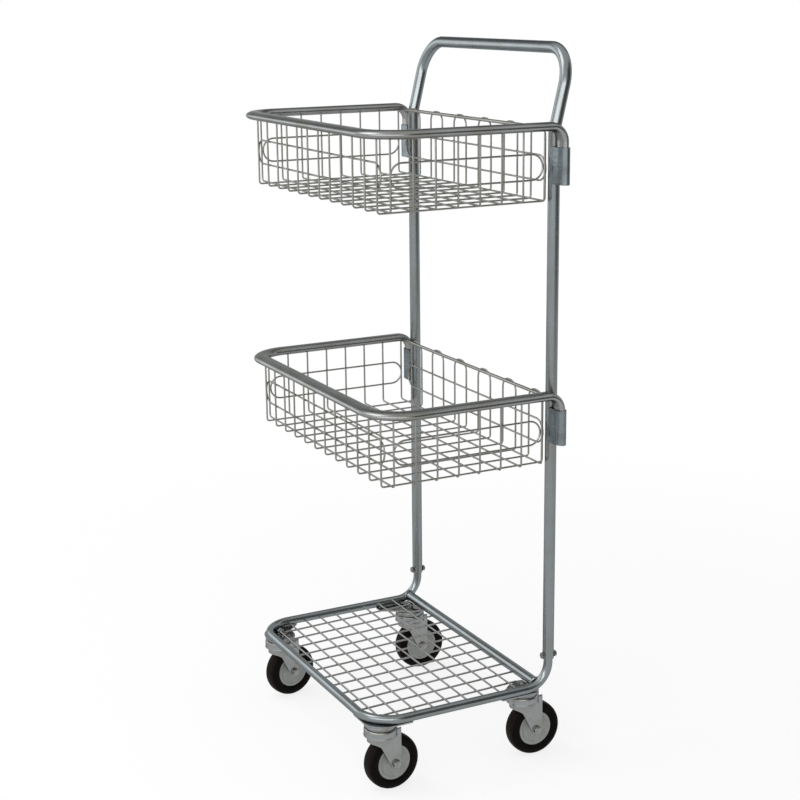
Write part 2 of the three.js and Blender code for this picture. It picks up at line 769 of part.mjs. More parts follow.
function buildCastor(parent, name, x, y, turn) {
  const castor = new THREE.Group();
  castor.position.set(x, y, 0);
  castor.rotation.z = THREE.MathUtils.degToRad(turn);
  parent.add(castor);
  addPiece(castor, `castor_${name}_head`, castorHead(), pressedZinc);
  const stemNutShape = nut(stemRadius, stemNutFlats, stemNutThickness);
  const stemNut = addPiece(parent, `castor_${name}_stem_nut`, stemNutShape, boltSteel);
  stemNut.position.set(x, y, plateTop + seatGap);
  addPiece(castor, `castor_${name}_fork`, castorFork(), pressedZinc);

  const axle = new THREE.Group();
  axle.position.set(0, castorTrail, axleHeight);
  axle.rotation.y = Math.PI / 2;
  castor.add(axle);
  addPiece(axle, `castor_${name}_wheel`, wheelCentre(), greyPlastic);
  addPiece(axle, `castor_${name}_tyre`, tyre(), blackRubber);
  const legFace = forkGap / 2 + forkSheet + seatGap;
  const boltLength = legFace * 2 + axleNutThickness + axleThreadEnd;
  const boltShape = bolt(axleRadius, axleHeadFlats, axleHeadThickness, boltLength);
  const axleBolt = addPiece(axle, `castor_${name}_axle_bolt`, boltShape, boltSteel);
  axleBolt.position.z = legFace;
  const nutShape = nut(axleRadius, axleHeadFlats, axleNutThickness);
  const axleNut = addPiece(axle, `castor_${name}_axle_nut`, nutShape, boltSteel);
  axleNut.position.z = -legFace - axleNutThickness;
}

const trolley = new THREE.Group();
trolley.position.y = -(modelFront + modelRear) / 2;
buildPushFrame(trolley);
buildBase(trolley);
buildMesh(trolley);
buildPlates(trolley);
for (const [name, height] of Object.entries({ lower_basket: lowerRimHeight, upper_basket: upperRimHeight })) {
  buildSockets(trolley, name, height);
  buildBasket(trolley, name, height);
}
buildCastor(trolley, "front_left", castorSpread, -frontCastorReach, frontLeftTurn);
buildCastor(trolley, "front_right", -castorSpread, -frontCastorReach, frontRightTurn);
buildCastor(trolley, "rear_left", castorSpread, -rearCastorReach, rearLeftTurn);
buildCastor(trolley, "rear_right", -castorSpread, -rearCastorReach, rearRightTurn);

const part = new THREE.Group();
part.add(trolley);
export default part;
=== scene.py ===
"""Looks of the document trolley: zinc-plated tube, welded wire, pressed sheet, grey wheels, black tyres.

Sizes are millimetres, with y = 0 in the plane of the uprights, until Surface.shown turns them into metres in
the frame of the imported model.
"""

import logging
from dataclasses import dataclass, field
from enum import Enum
from typing import Any, Sequence

import bpy
import numpy as np
from mathutils import Matrix


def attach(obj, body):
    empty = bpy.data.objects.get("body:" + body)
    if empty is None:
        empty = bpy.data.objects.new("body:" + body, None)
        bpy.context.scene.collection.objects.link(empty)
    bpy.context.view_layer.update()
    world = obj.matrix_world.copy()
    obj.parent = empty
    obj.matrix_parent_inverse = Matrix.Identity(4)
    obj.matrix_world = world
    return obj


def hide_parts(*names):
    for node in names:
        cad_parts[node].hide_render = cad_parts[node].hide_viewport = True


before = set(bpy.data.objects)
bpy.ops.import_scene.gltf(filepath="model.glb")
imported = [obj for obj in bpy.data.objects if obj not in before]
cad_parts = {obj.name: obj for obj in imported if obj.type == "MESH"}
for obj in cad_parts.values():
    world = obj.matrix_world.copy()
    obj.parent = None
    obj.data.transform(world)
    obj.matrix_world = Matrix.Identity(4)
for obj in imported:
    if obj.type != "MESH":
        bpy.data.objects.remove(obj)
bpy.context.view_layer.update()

log = logging.getLogger("trolley")
Array = np.ndarray
Vector = Sequence[float]
Socket = bpy.types.NodeSocket

UPRIGHTS_Y = 156.5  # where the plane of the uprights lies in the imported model
UPRIGHT_X = 250.0  # from the middle of the trolley to an upright's middle
UPRIGHT_RADIUS = 10.0
GAP = 0.3  # between pieces that only touch
BITE = 0.8  # how far a welded end sinks into what it is welded to
CORE = 0.01  # the radius at which a turned profile closes on its axis
SHARP = 32.0  # faces that meet at more than this many degrees keep a sharp edge
UPSIDE_DOWN = np.diag([1.0, 1.0, -1.0])  # mirrors a piece in Z
SMOOTH = {"interpolation_type": "SMOOTHSTEP"}  # a Map Range node's setting, which eases both ends
DULLED = "#9a9d9c"  # zinc under white rust and handling


class Body(Enum):
    """The moving bodies that pieces ride on, apart from the castors'."""

    CHASSIS = "chassis"
    LOWER_BASKET = "lower_basket"
    UPPER_BASKET = "upper_basket"


class Slot(Enum):
    """The record's material slots."""

    TUBE = "zinc_tube"
    RIM = "zinc_rim"
    WIRE = "zinc_wire"
    SHEET = "pressed_zinc"
    BOLT = "bolt_steel"
    WHEEL = "grey_plastic"
    TYRE = "tyre"


class Side(Enum):
    """The trolley's sides, with the sign that X has there."""

    LEFT = 1
    RIGHT = -1

    @property
    def word(self) -> str:
        """The side as the names of pieces and nodes have it."""
        return self.name.lower()


# Surfaces


@dataclass(frozen=True)
class Surface:
    """A closed surface.

    points: the places, in millimetres.
    quads, triangles: rows of point numbers.
    lay: for each point the length along the piece and its place in the section, which the finishes read.
    """

    points: Array
    quads: Array
    triangles: Array
    lay: Array

    def placed(self, turn: Array, offset: Vector) -> "Surface":
        """Returns the surface turned by a 3 x 3 matrix, whose rows are the new axes, and then moved."""
        return Surface(self.points @ turn.T + np.asarray(offset), self.quads, self.triangles, self.lay)

    def raised(self, height: float) -> "Surface":
        """Returns the surface moved up."""
        return self.placed(np.eye(3), (0.0, 0.0, height))

    def mirrored(self, side: Side) -> "Surface":
        """Returns the surface, made for the left side, as it is on a side."""
        return self.placed(np.diag([side.value, 1.0, 1.0]), (0, 0, 0)).outward()

    def volume(self) -> float:
        """Returns a sixth of the sum of a . (b x c) over all triangles, positive where faces point out."""
        halves = np.concatenate([self.quads[:, [0, 1, 2]], self.quads[:, [0, 2, 3]], self.triangles])
        a, b, c = (self.points[halves[:, k]] for k in range(3))
        return float(np.einsum("ij,ij->", a, np.cross(b, c)) / 6)

    def outward(self) -> "Surface":
        """Returns the surface with its faces pointing outwards."""
        if self.volume() >= 0:
            return self
        return Surface(self.points, self.quads[:, ::-1], self.triangles[:, ::-1], self.lay)

    def shown(self, name: str) -> bpy.types.Object:
        """Makes the Blender object, in metres.

        Args:
            name: the piece's name.

        Returns:
            The object, at the origin.
        """
        mesh = bpy.data.meshes.new(name)
        places = (self.points + (0.0, UPRIGHTS_Y, 0.0)) / 1000
        corners = np.concatenate([self.quads.ravel(), self.triangles.ravel()])
        many = len(self.quads)
        starts = np.concatenate([np.arange(many) * 4, many * 4 + np.arange(len(self.triangles)) * 3])
        mesh.vertices.add(len(places))
        mesh.vertices.foreach_set("co", places.astype(np.float32).ravel())
        mesh.loops.add(len(corners))
        mesh.loops.foreach_set("vertex_index", corners.astype(np.int32))
        mesh.polygons.add(len(starts))
        mesh.polygons.foreach_set("loop_start", starts.astype(np.int32))
        mesh.polygons.foreach_set("use_smooth", np.ones(len(starts), bool))
        mesh.update(calc_edges=True)
        lay = mesh.attributes.new("lay", "FLOAT_VECTOR", "POINT")
        lay.data.foreach_set("vector", self.lay.astype(np.float32).ravel())
        mesh.set_sharp_from_angle(angle=float(np.radians(SHARP)))
        mesh.validate()
        return linked(name, mesh)


def linked(name: str, data: Any) -> bpy.types.Object:
    """Makes an object and links it to the scene.

    Args:
        name: its name.
        data: its mesh, lamp or camera.

    Returns:
        The object.
    """
    item = bpy.data.objects.new(name, data)
    bpy.context.scene.collection.objects.link(item)
    return item


def joined(surfaces: Sequence[Surface]) -> Surface:
    """Puts several surfaces into one, each turned outwards first.

    Args:
        surfaces: the surfaces.

    Returns:
        The one surface.
    """
    outs = [surface.outward() for surface in surfaces]
    firsts = np.cumsum([0] + [len(out.points) for out in outs[:-1]])
    return Surface(
        np.concatenate([out.points for out in outs]),
        np.concatenate([out.quads + first for out, first in zip(outs, firsts)]),
        np.concatenate([out.triangles + first for out, first in zip(outs, firsts)]),
        np.concatenate([out.lay for out in outs]),
    )


def skin(rings: Array, lay: Array, looped: bool = False) -> Surface:
    """Covers a row of rings of points with a closed skin.

    Ring i's point j is joined to ring i + 1's point j. The first and last ring close on the middle of their
    points, or on each other.

    Args:
        rings: n x k x 3 places.
        lay: n x k x 3 values that go with them.
        looped: True where the last ring meets the first.

    Returns:
        The closed surface.
    """
    rows, columns = rings.shape[:2]
    row = np.arange(rows if looped else rows - 1)[:, None]
    column = np.arange(columns)[None, :]
    beside = (column + 1) % columns
    below = (row + 1) % rows
    corners = [row * columns + column, row * columns + beside, below * columns + beside,
               below * columns + column]
    quads = np.stack(np.broadcast_arrays(*corners), -1).reshape(-1, 4)
    points, values = rings.reshape(-1, 3), lay.reshape(-1, 3)
    if looped:
        return Surface(points, quads, np.zeros((0, 3), int), values)
    poles = np.stack([rings[0].mean(0), rings[-1].mean(0)])
    pole_values = np.stack([lay[0].mean(0), lay[-1].mean(0)])
    first, last = rows * columns, rows * columns + 1
    around = np.arange(columns)
    ahead = (around + 1) % columns
    end = (rows - 1) * columns
    fans = np.concatenate([
        np.stack([np.full(columns, first), ahead, around], -1),
        np.stack([np.full(columns, last), end + around, end + ahead], -1),
    ])
    return Surface(np.concatenate([points, poles]), quads, fans, np.concatenate([values, pole_values]))


def unit(vector: Vector) -> Array:
    """Returns the vector at length one."""
    return np.asarray(vector, float) / np.linalg.norm(vector)


def full_turn(count: int) -> Array:
    """Returns evenly spaced angles round a full turn."""
    return np.arange(count) * 2 * np.pi / count


def cylindrical(radius: Array, angle: Array, height: Array) -> Array:
    """Returns the places (r cos a, r sin a, z) of arrays that fit each other."""
    r, a, z = np.broadcast_arrays(radius, angle, height)
    return np.stack([r * np.cos(a), r * np.sin(a), z], -1)


def turned(vector: Array, axis: Array, angles: Array) -> Array:
    """Turns v about an axis by each angle a: v cos a + (axis x v) sin a + axis (axis . v) (1 - cos a)."""
    cos, sin = np.cos(angles)[:, None], np.sin(angles)[:, None]
    return vector * cos + np.cross(axis, vector) * sin + axis * float(axis @ vector) * (1 - cos)


@dataclass(frozen=True)
class Route:
    """Middle line of a tube or wire: places, directions, and the sideways direction carried along them."""

    points: Array
    ahead: Array
    side: Array

    @property
    def over(self) -> Array:
        """The third direction, square to ahead and side."""
        return np.cross(self.ahead, self.side)

    @property
    def length(self) -> Array:
        """The length along the line at each place, which is the sum of the chords before it."""
        return np.concatenate([[0.0], np.cumsum(np.linalg.norm(np.diff(self.points, axis=0), axis=1))])


def routed(corners: Sequence[Vector], radii: Vector, side: Vector, spacing: float = 40.0,
           degrees: float = 7.5) -> Route:
    """Lays straight runs between corners and an arc in each corner.

    An arc starts radius * tan(turn / 2) before its corner. Places, directions and the sideways direction all
    turn about the arc's axis together, so a section that is carried along never twists.

    Args:
        corners: the places where the runs meet, ends included.
        radii: one bend radius for each inner corner.
        side: the sideways direction at the start.
        spacing: longest step on a run.
        degrees: longest step in an arc.

    Returns:
        The route.
    """
    corners = np.asarray(corners, float)
    side = unit(side)
    place = corners[0]
    points, aheads, sides = [], [], []

    def keep(where: Array, direction: Array, across: Array) -> None:
        """Keeps the places of a run or an arc, with their directions."""
        points.append(where)
        aheads.append(np.broadcast_to(direction, where.shape))
        sides.append(np.broadcast_to(across, where.shape))

    for number in range(1, len(corners)):
        corner = corners[number]
        ahead = unit(corner - corners[number - 1])
        inner = number < len(corners) - 1
        onward = unit(corners[number + 1] - corner) if inner else ahead
        turn = float(np.arccos(np.clip(ahead @ onward, -1, 1)))
        stop = corner - ahead * (radii[number - 1] * np.tan(turn / 2)) if inner else corner
        count = max(1, int(np.ceil(np.linalg.norm(stop - place) / spacing)))
        keep(place + (stop - place) * (np.arange(count) / count)[:, None], ahead, side)
        if not inner:
            keep(stop[None, :], ahead, side)
            break
        axis = unit(np.cross(ahead, onward))
        centre = stop + np.cross(axis, ahead) * radii[number - 1]
        steps = max(3, int(np.ceil(np.degrees(turn) / degrees)))
        angles = turn * np.arange(steps + 1) / steps
        arc = centre + turned(stop - centre, axis, angles)
        keep(arc[:-1], turned(ahead, axis, angles)[:-1], turned(side, axis, angles)[:-1])
        place, side = arc[-1], turned(side, axis, angles)[-1]
    route = Route(np.concatenate(points), np.concatenate(aheads), np.concatenate(sides))
    apart = np.concatenate([[True], np.linalg.norm(np.diff(route.points, axis=0), axis=1) > 0.02])
    return Route(route.points[apart], route.ahead[apart], route.side[apart])


@dataclass(frozen=True)
class Section:
    """An oval section: half its width and depth, the wall and how far in a bore shows (none for a bar)."""

    wide: float
    deep: float
    wall: float = 0.0
    bore: float = 0.0
    sides: int = 32
    edge: float = 0.4

    def ends(self) -> tuple[Array, Array]:
        """Returns how deep each ring of an end lies, and how much larger than the section it is."""
        if self.wall:
            depth = np.array([self.bore, self.edge, 0.0, 0.0, self.edge])
            growth = np.array([-self.wall, -self.wall, self.edge - self.wall, -self.edge, 0.0])
            return depth, growth
        return np.array([0.0, self.edge]), np.array([-self.edge, 0.0])

    def carried(self, route: Route, ripple: tuple[float, float] = (0.0, 1.0),
                looped: bool = False) -> Surface:
        """Carries the section along a route.

        A point is middle + (wide + growth) cos a * side + (deep + growth) sin a * over, and growth is the
        ends' rounding plus a ripple, depth * sin(2 pi length / pitch), for weld beads.

        Args:
            route: the middle line.
            ripple: depth and pitch of the ripple.
            looped: True where the route's end meets its start.

        Returns:
            The surface.
        """
        middle, side, over, along = route.points, route.side, route.over, route.length
        growth = ripple[0] * np.sin(2 * np.pi * along / ripple[1])
        if not looped:
            depth, end = self.ends()
            inward = depth[:, None]
            still = np.ones_like(inward)

            def capped(values: Array, first: Array, last: Array) -> Array:
                """Puts the ends' rings before and after the inner ones."""
                return np.concatenate([first, values[1:-1], last[::-1]])

            middle = capped(middle, middle[0] + route.ahead[0] * inward,
                            middle[-1] - route.ahead[-1] * inward)
            side = capped(side, side[0] * still, side[-1] * still)
            over = capped(over, over[0] * still, over[-1] * still)
            growth = capped(growth, end, end)
            along = capped(along, depth, along[-1] - depth)
        angle = full_turn(self.sides)
        a = (self.wide + growth)[:, None] * np.cos(angle)
        b = (self.deep + growth)[:, None] * np.sin(angle)
        rings = middle[:, None] + a[..., None] * side[:, None] + b[..., None] * over[:, None]
        return skin(rings, np.stack([np.broadcast_to(along[:, None], a.shape), a, b], -1), looped)

    def straight(self, start: Vector, end: Vector, side: Vector, spacing: float = 40.0,
                 ripple: tuple[float, float] = (0.0, 1.0)) -> Surface:
        """Returns the section carried straight from one place to another."""
        return self.carried(routed([start, end], [], side, spacing), ripple)


def bar(radius: float, sides: int = 12) -> Section:
    """Returns the section of a solid wire or rod."""
    return Section(radius, radius, sides=sides, edge=min(0.5, radius * 0.3))


def bead(start: Vector, end: Vector, side: Vector, wide: float, ripple: tuple[float, float]) -> Surface:
    """Returns a straight weld bead with the ripples that a torch leaves."""
    return Section(wide, 1.7, sides=10, edge=0.9).straight(start, end, side, 0.6, ripple)


def revolved(profile: Sequence[Vector], count: int = 72, looped: bool = False) -> Surface:
    """Turns a profile about Z.

    A point is (r cos a, r sin a, z), and its lay is (a times the mean radius, r, z).

    Args:
        profile: radius and height pairs.
        count: how many steps the turn has.
        looped: True for a ring, whose profile meets itself.

    Returns:
        The surface.
    """
    radius, height = np.asarray(profile, float).T
    r, a, z = np.broadcast_arrays(radius[:, None], full_turn(count), height[:, None])
    return skin(cylindrical(r, a, z), np.stack([a * radius.mean(), r, z], -1), looped)


def rounded(profile: Sequence[Vector], radii: Vector, steps: int = 4) -> list[list[float]]:
    """Rounds the inner corners of an open profile.

    Each corner becomes the curve (1-t)^2 p + 2t(1-t) c + t^2 q between the places p and q that lie the
    rounding before and after the corner c.

    Args:
        profile: its places.
        radii: how far each inner corner is rounded; zero leaves it sharp.
        steps: how many steps a rounding has.

    Returns:
        The places of the rounded profile.
    """
    points = np.asarray(profile, float)
    out = [points[:1]]
    t = np.linspace(0, 1, steps + 1)[:, None]
    for before, corner, after, radius in zip(points, points[1:], points[2:], radii):
        if radius == 0:
            out.append(corner[None])
            continue
        p, q = corner + unit(before - corner) * radius, corner + unit(after - corner) * radius
        out.append((1 - t) ** 2 * p + 2 * t * (1 - t) * corner + t**2 * q)
    out.append(points[-1:])
    return np.concatenate(out).tolist()


def washer(radius: float, low: float, high: float, edge: float, lower_edge: float, count: int = 40,
           core: float = CORE) -> Surface:
    """Makes a washer about Z, whose hole the bolt fills: a disc with chamfered edges.

    Args:
        radius: its outer radius.
        low, high: the heights of its faces.
        edge: how far in the chamfers reach, and how high the upper one is.
        lower_edge: how high the lower chamfer is.
        count: how many steps its outline has.
        core: the radius at which the faces close.

    Returns:
        The surface.
    """
    inner = radius - edge
    return revolved([[core, low], [inner, low], [radius, low + lower_edge], [radius, high - edge],
                     [inner, high], [core, high]], count)


def hexagon(flats: float, low: float, high: float, both: bool = False) -> Surface:
    """Makes a hexagon head or nut about Z, whose corners a cone of 30 degrees cuts off.

    At each height the outline is min(flats / 2 / cos(a mod 60 - 30), cone radius).

    Args:
        flats: width across the flats.
        low, high: the heights of its faces.
        both: True for a nut, which has the cone on both faces, and not only on the high one.

    Returns:
        The surface.
    """
    angle = full_turn(72)
    outline = flats / 2 / np.cos(np.mod(angle, np.pi / 3) - np.pi / 6)
    face = flats * 0.475  # the radius at which the cone meets the flat face
    fall = np.linspace(0, (outline.max() - face) * np.tan(np.pi / 6), 5)
    cone = face + fall / np.tan(np.pi / 6)
    uncut = np.full(len(fall), outline.max() + 1)
    limit = np.concatenate([cone if both else uncut, cone[::-1]])
    heights = np.concatenate([low + fall, (high - fall)[::-1]])
    rings = cylindrical(np.minimum(outline, limit[:, None]), angle, heights[:, None])
    return skin(rings, rings)


def thread(radius: float, low: float, high: float, pitch: float = 1.25) -> Surface:
    """Makes a threaded shank about Z.

    The radius is the outer one less 0.6 pitch * |2 frac(height / pitch - a / 2 pi) - 1|, and falls by 0.5 mm
    more over the last millimetre, which is the chamfer.

    Args:
        radius: its outer radius.
        low, high: the heights of its ends.
        pitch: how far apart the threads are.

    Returns:
        The surface.
    """
    angle = full_turn(24)
    z = np.linspace(low, high, int((high - low) / pitch * 6) + 2)[:, None]
    turn = np.mod(z / pitch - angle / (2 * np.pi), 1)
    chamfer = (1 - np.clip(high - z, 0, 1)) * 0.5
    rings = cylindrical(radius - 0.6 * pitch * np.abs(2 * turn - 1) - chamfer, angle, z)
    return skin(rings, rings)


def layered(outline: Array, layers: Sequence[Vector], middle: Vector) -> Surface:
    """Stacks scaled copies of an outline about a middle, for flat plates with rounded edges.

    A point is middle + (outline - middle) * (1 - inset / reach), with reach the outline's distance there.

    Args:
        outline: k x 2 places.
        layers: inset and height pairs from one face to the other.
        middle: a place inside that sees the whole outline.

    Returns:
        The surface.
    """
    arm = outline - np.asarray(middle, float)
    inset, height = np.asarray(layers, float).T
    share = np.clip(1 - inset[:, None] / np.linalg.norm(arm, axis=1), 0, 1)
    flat = np.asarray(middle, float) + arm * share[..., None]
    rings = np.concatenate([flat, np.broadcast_to(height[:, None, None], (*flat.shape[:2], 1))], -1)
    return skin(rings, rings)


def nuggets(places: Array, size: Vector) -> Surface:
    """Makes small weld nuggets, each an ellipsoid of a few dozen faces.

    A point is place + size * (cos rise cos a, cos rise sin a, sin rise).

    Args:
        places: n x 3 middles.
        size: half sizes along X, Y and Z.

    Returns:
        All of them as one surface.
    """
    rise = np.radians([-62.0, -22.0, 22.0, 62.0])[:, None]
    shape = cylindrical(np.cos(rise), full_turn(8), np.sin(rise)) * np.asarray(size)
    one = skin(shape, shape).outward()
    shift = (np.arange(len(places)) * len(one.points))[:, None, None]
    points = (places[:, None] + one.points[None]).reshape(-1, 3)
    quads = (one.quads[None] + shift).reshape(-1, 4)
    return Surface(points, quads, (one.triangles[None] + shift).reshape(-1, 3), points)


# Finishes


def linear(colour: str) -> tuple[float, float, float, float]:
    """Turns an sRGB colour to linear.

    Args:
        colour: a hex value such as #808080.

    Returns:
        Its linear red, green and blue, with alpha 1.
    """
    values = np.array([int(colour[k : k + 2], 16) for k in (1, 3, 5)]) / 255
    light = np.where(values <= 0.04045, values / 12.92, ((values + 0.055) / 1.055) ** 2.4)
    return (*(float(v) for v in light), 1.0)


def add(tree: bpy.types.NodeTree, kind: str, sockets: dict[Any, Any] | Sequence[Any] = (), out: Any = 0,
        **settings: Any) -> Socket | None:
    """Adds a node.

    Args:
        tree: where it goes.
        kind: Blender's name for the node.
        sockets: the value or the output that feeds each input, by name or number, or in their order.
        out: the name or number of the output that is wanted.
        settings: the node's own settings.

    Returns:
        That output, or nothing from a node that has none.
    """
    node = tree.nodes.new(kind)
    for name, value in settings.items():
        setattr(node, name, value)
    for name, value in sockets.items() if isinstance(sockets, dict) else enumerate(sockets):
        if isinstance(value, Socket):
            tree.links.new(value, node.inputs[name])
        else:
            node.inputs[name].default_value = value
    return node.outputs[out] if node.outputs else None


def emptied(owner: bpy.types.Material | bpy.types.World) -> bpy.types.NodeTree:
    """Returns the node tree of a material or the world, with nothing in it yet."""
    owner.use_nodes = True
    owner.node_tree.nodes.clear()
    return owner.node_tree


def pattern(tree: bpy.types.NodeTree, scale: Vector, detail: float = 2.0) -> Socket:
    """Adds noise on the piece's own lay.

    Args:
        tree: where it goes.
        scale: how many grains it has for each millimetre along, across and over.
        detail: how many finer layers it has.

    Returns:
        The noise, from 0 to 1.
    """
    lay = add(tree, "ShaderNodeAttribute", out="Vector", attribute_name="lay")
    spread = add(tree, "ShaderNodeMapping", {"Vector": lay, "Scale": scale})
    return add(tree, "ShaderNodeTexNoise", {"Vector": spread, "Scale": 1.0, "Detail": detail})


@dataclass(frozen=True)
class Coat:
    """What all finishes have: a name, the record's slot, the base colour, the roughness and the relief."""

    name: str
    slot: Slot
    base: str
    roughness: float

    def started(self) -> tuple[bpy.types.Material, bpy.types.NodeTree]:
        """Returns a new material and its empty node tree."""
        material = bpy.data.materials.new(self.name)
        return material, emptied(material)

    def ended(self, tree: bpy.types.NodeTree, relief: Sequence[Socket], strength: float, height_mm: float,
              sockets: dict[str, Any]) -> None:
        """Adds the bump, the shader and the output.

        Args:
            tree: the material's nodes.
            relief: two patterns, whose sum is the bump's height.
            strength: the bump's strength.
            height_mm: how high a pattern's full range stands.
            sockets: the shader's other inputs.
        """
        height = add(tree, "ShaderNodeMath", relief, operation="ADD")
        bump = {"Strength": strength, "Distance": height_mm / 1000, "Height": height}
        sockets["Normal"] = add(tree, "ShaderNodeBump", bump)
        add(tree, "ShaderNodeOutputMaterial", {"Surface": add(tree, "ShaderNodeBsdfPrincipled", sockets)})


@dataclass(frozen=True)
class ZincPlate(Coat):
    """Bright zinc, electroplated on drawn or pressed steel and passivated bluish.

    It gives the eye a satin grey metal with faint lines along the drawing direction, cloudy patches of bluish
    and yellowish passivation, and duller, paler spots of white rust and handling.
    """

    cool: str
    warm: str
    edge: str
    lines: float = 0.5
    line_grains: tuple[float, float, float] = (0.012, 0.9, 0.9)
    cloud_mm: float = 34.0
    bump_mm: float = 0.02

    def material(self) -> bpy.types.Material:
        """Makes the material: each layer mixes in a colour where its pattern passes the span it is given."""
        material, tree = self.started()
        drawn = pattern(tree, self.line_grains, 4.0)
        cloud = pattern(tree, (0.6 / self.cloud_mm, 1 / self.cloud_mm, 1 / self.cloud_mm))
        spots = pattern(tree, (0.1, 0.14, 0.14))  # spots about 7 to 10 mm wide
        grain = pattern(tree, (0.3, 0.6, 0.6))  # drawn coarser than plating grain, which wouldn't show
        layers = [(cloud, (0.42, 0.62, 0.0, 1.0), self.cool), (cloud, (0.48, 0.36, 0.0, 0.8), self.warm),
                  (drawn, (0.35, 0.68, 0.0, self.lines), self.warm), (spots, (0.6, 0.74, 0.0, 0.2), DULLED)]
        tone = linear(self.base)
        for source, span, colour in layers:
            share = add(tree, "ShaderNodeMapRange", [source, *span], **SMOOTH)
            tone = add(tree, "ShaderNodeMix", {0: share, 6: tone, 7: linear(colour)}, 2, data_type="RGBA")
        span = (0.3, 0.7, self.roughness - 0.03, self.roughness + 0.04)
        rough = [add(tree, "ShaderNodeMapRange", [drawn, *span], **SMOOTH),
                 add(tree, "ShaderNodeMapRange", [spots, 0.6, 0.75, 0.0, 0.06], **SMOOTH)]
        self.ended(tree, [drawn, grain], 0.5, self.bump_mm, {
            "Base Color": tone, "Metallic": 1.0, "Specular Tint": linear(self.edge),
            "Roughness": add(tree, "ShaderNodeMath", rough, operation="ADD"),
        })
        return material


@dataclass(frozen=True)
class MouldedGrey(Coat):
    """Polypropylene, injection moulded in mid grey.

    It gives the eye a satin, slightly mottled grey with fine turned marks of the mould and grey dust.
    """

    dusty: str

    def material(self) -> bpy.types.Material:
        """Makes the material."""
        material, tree = self.started()
        cloud = pattern(tree, (0.07, 0.12, 0.12), 4.0)  # mottling 8 to 14 mm wide
        marks = pattern(tree, (0.02, 2.2, 0.4))  # turned marks 0.5 mm apart, long round the wheel
        fine = pattern(tree, (1.4, 1.4, 1.4), 3.0)
        share = add(tree, "ShaderNodeMapRange", [cloud, 0.4, 0.65, 0.0, 1.0], **SMOOTH)
        colours = {0: share, 6: linear(self.base), 7: linear(self.dusty)}
        span = (0.35, 0.7, self.roughness, self.roughness + 0.14)
        self.ended(tree, [marks, fine], 0.4, 0.06, {
            "Base Color": add(tree, "ShaderNodeMix", colours, 2, data_type="RGBA"),
            "Specular IOR Level": 0.45,
            "Roughness": add(tree, "ShaderNodeMapRange", [cloud, *span], **SMOOTH),
        })
        return material


@dataclass(frozen=True)
class TyreRubber(Coat):
    """Carbon-black rubber, moulded and rubbed down by rolling.

    It gives the eye a near-black brown with a dusty tread that is paler and browner than the side walls:
    partly real scuffing, partly a painted sheen.
    """

    scuff_and_sheen_colour: str
    tread_from: float

    def material(self) -> bpy.types.Material:
        """Makes the material: a pattern times a share that grows where the tread begins mixes in the tread's
        paler brown, which is partly real scuffing and partly a painted sheen.
        """
        material, tree = self.started()
        lay = add(tree, "ShaderNodeAttribute", out="Vector", attribute_name="lay")
        radius = add(tree, "ShaderNodeSeparateXYZ", [lay], 1)
        scuff_and_sheen_noise = pattern(tree, (0.12, 0.3, 0.3), 5.0)  # scuffs and painted sheen, 3 mm wide and 8 mm long
        fine = pattern(tree, (1.1, 1.8, 1.8), 4.0)
        tread = [radius, self.tread_from, self.tread_from + 2.5, 0.12, 0.6]
        # Where the tread begins a paler brown is mixed in: partly real scuffing, partly a painted sheen.
        wear_and_sheen_share = add(tree, "ShaderNodeMath", [
            add(tree, "ShaderNodeMapRange", tread, **SMOOTH),
            add(tree, "ShaderNodeMapRange", [scuff_and_sheen_noise, 0.36, 0.66, 0.2, 1.0], **SMOOTH),
        ], operation="MULTIPLY")
        colours = {0: wear_and_sheen_share, 6: linear(self.base), 7: linear(self.scuff_and_sheen_colour)}
        span = (0.3, 0.7, self.roughness, self.roughness + 0.2)
        self.ended(tree, [scuff_and_sheen_noise, fine], 0.5, 0.15, {
            "Base Color": add(tree, "ShaderNodeMix", colours, 2, data_type="RGBA"),
            "Specular IOR Level": 0.06,
            "Roughness": add(tree, "ShaderNodeMapRange", [scuff_and_sheen_noise, *span], **SMOOTH),
        })
        return material


WIRE_LINES = (0.02, 1.6, 1.6)  # drawing lines 0.6 mm apart and 50 mm long


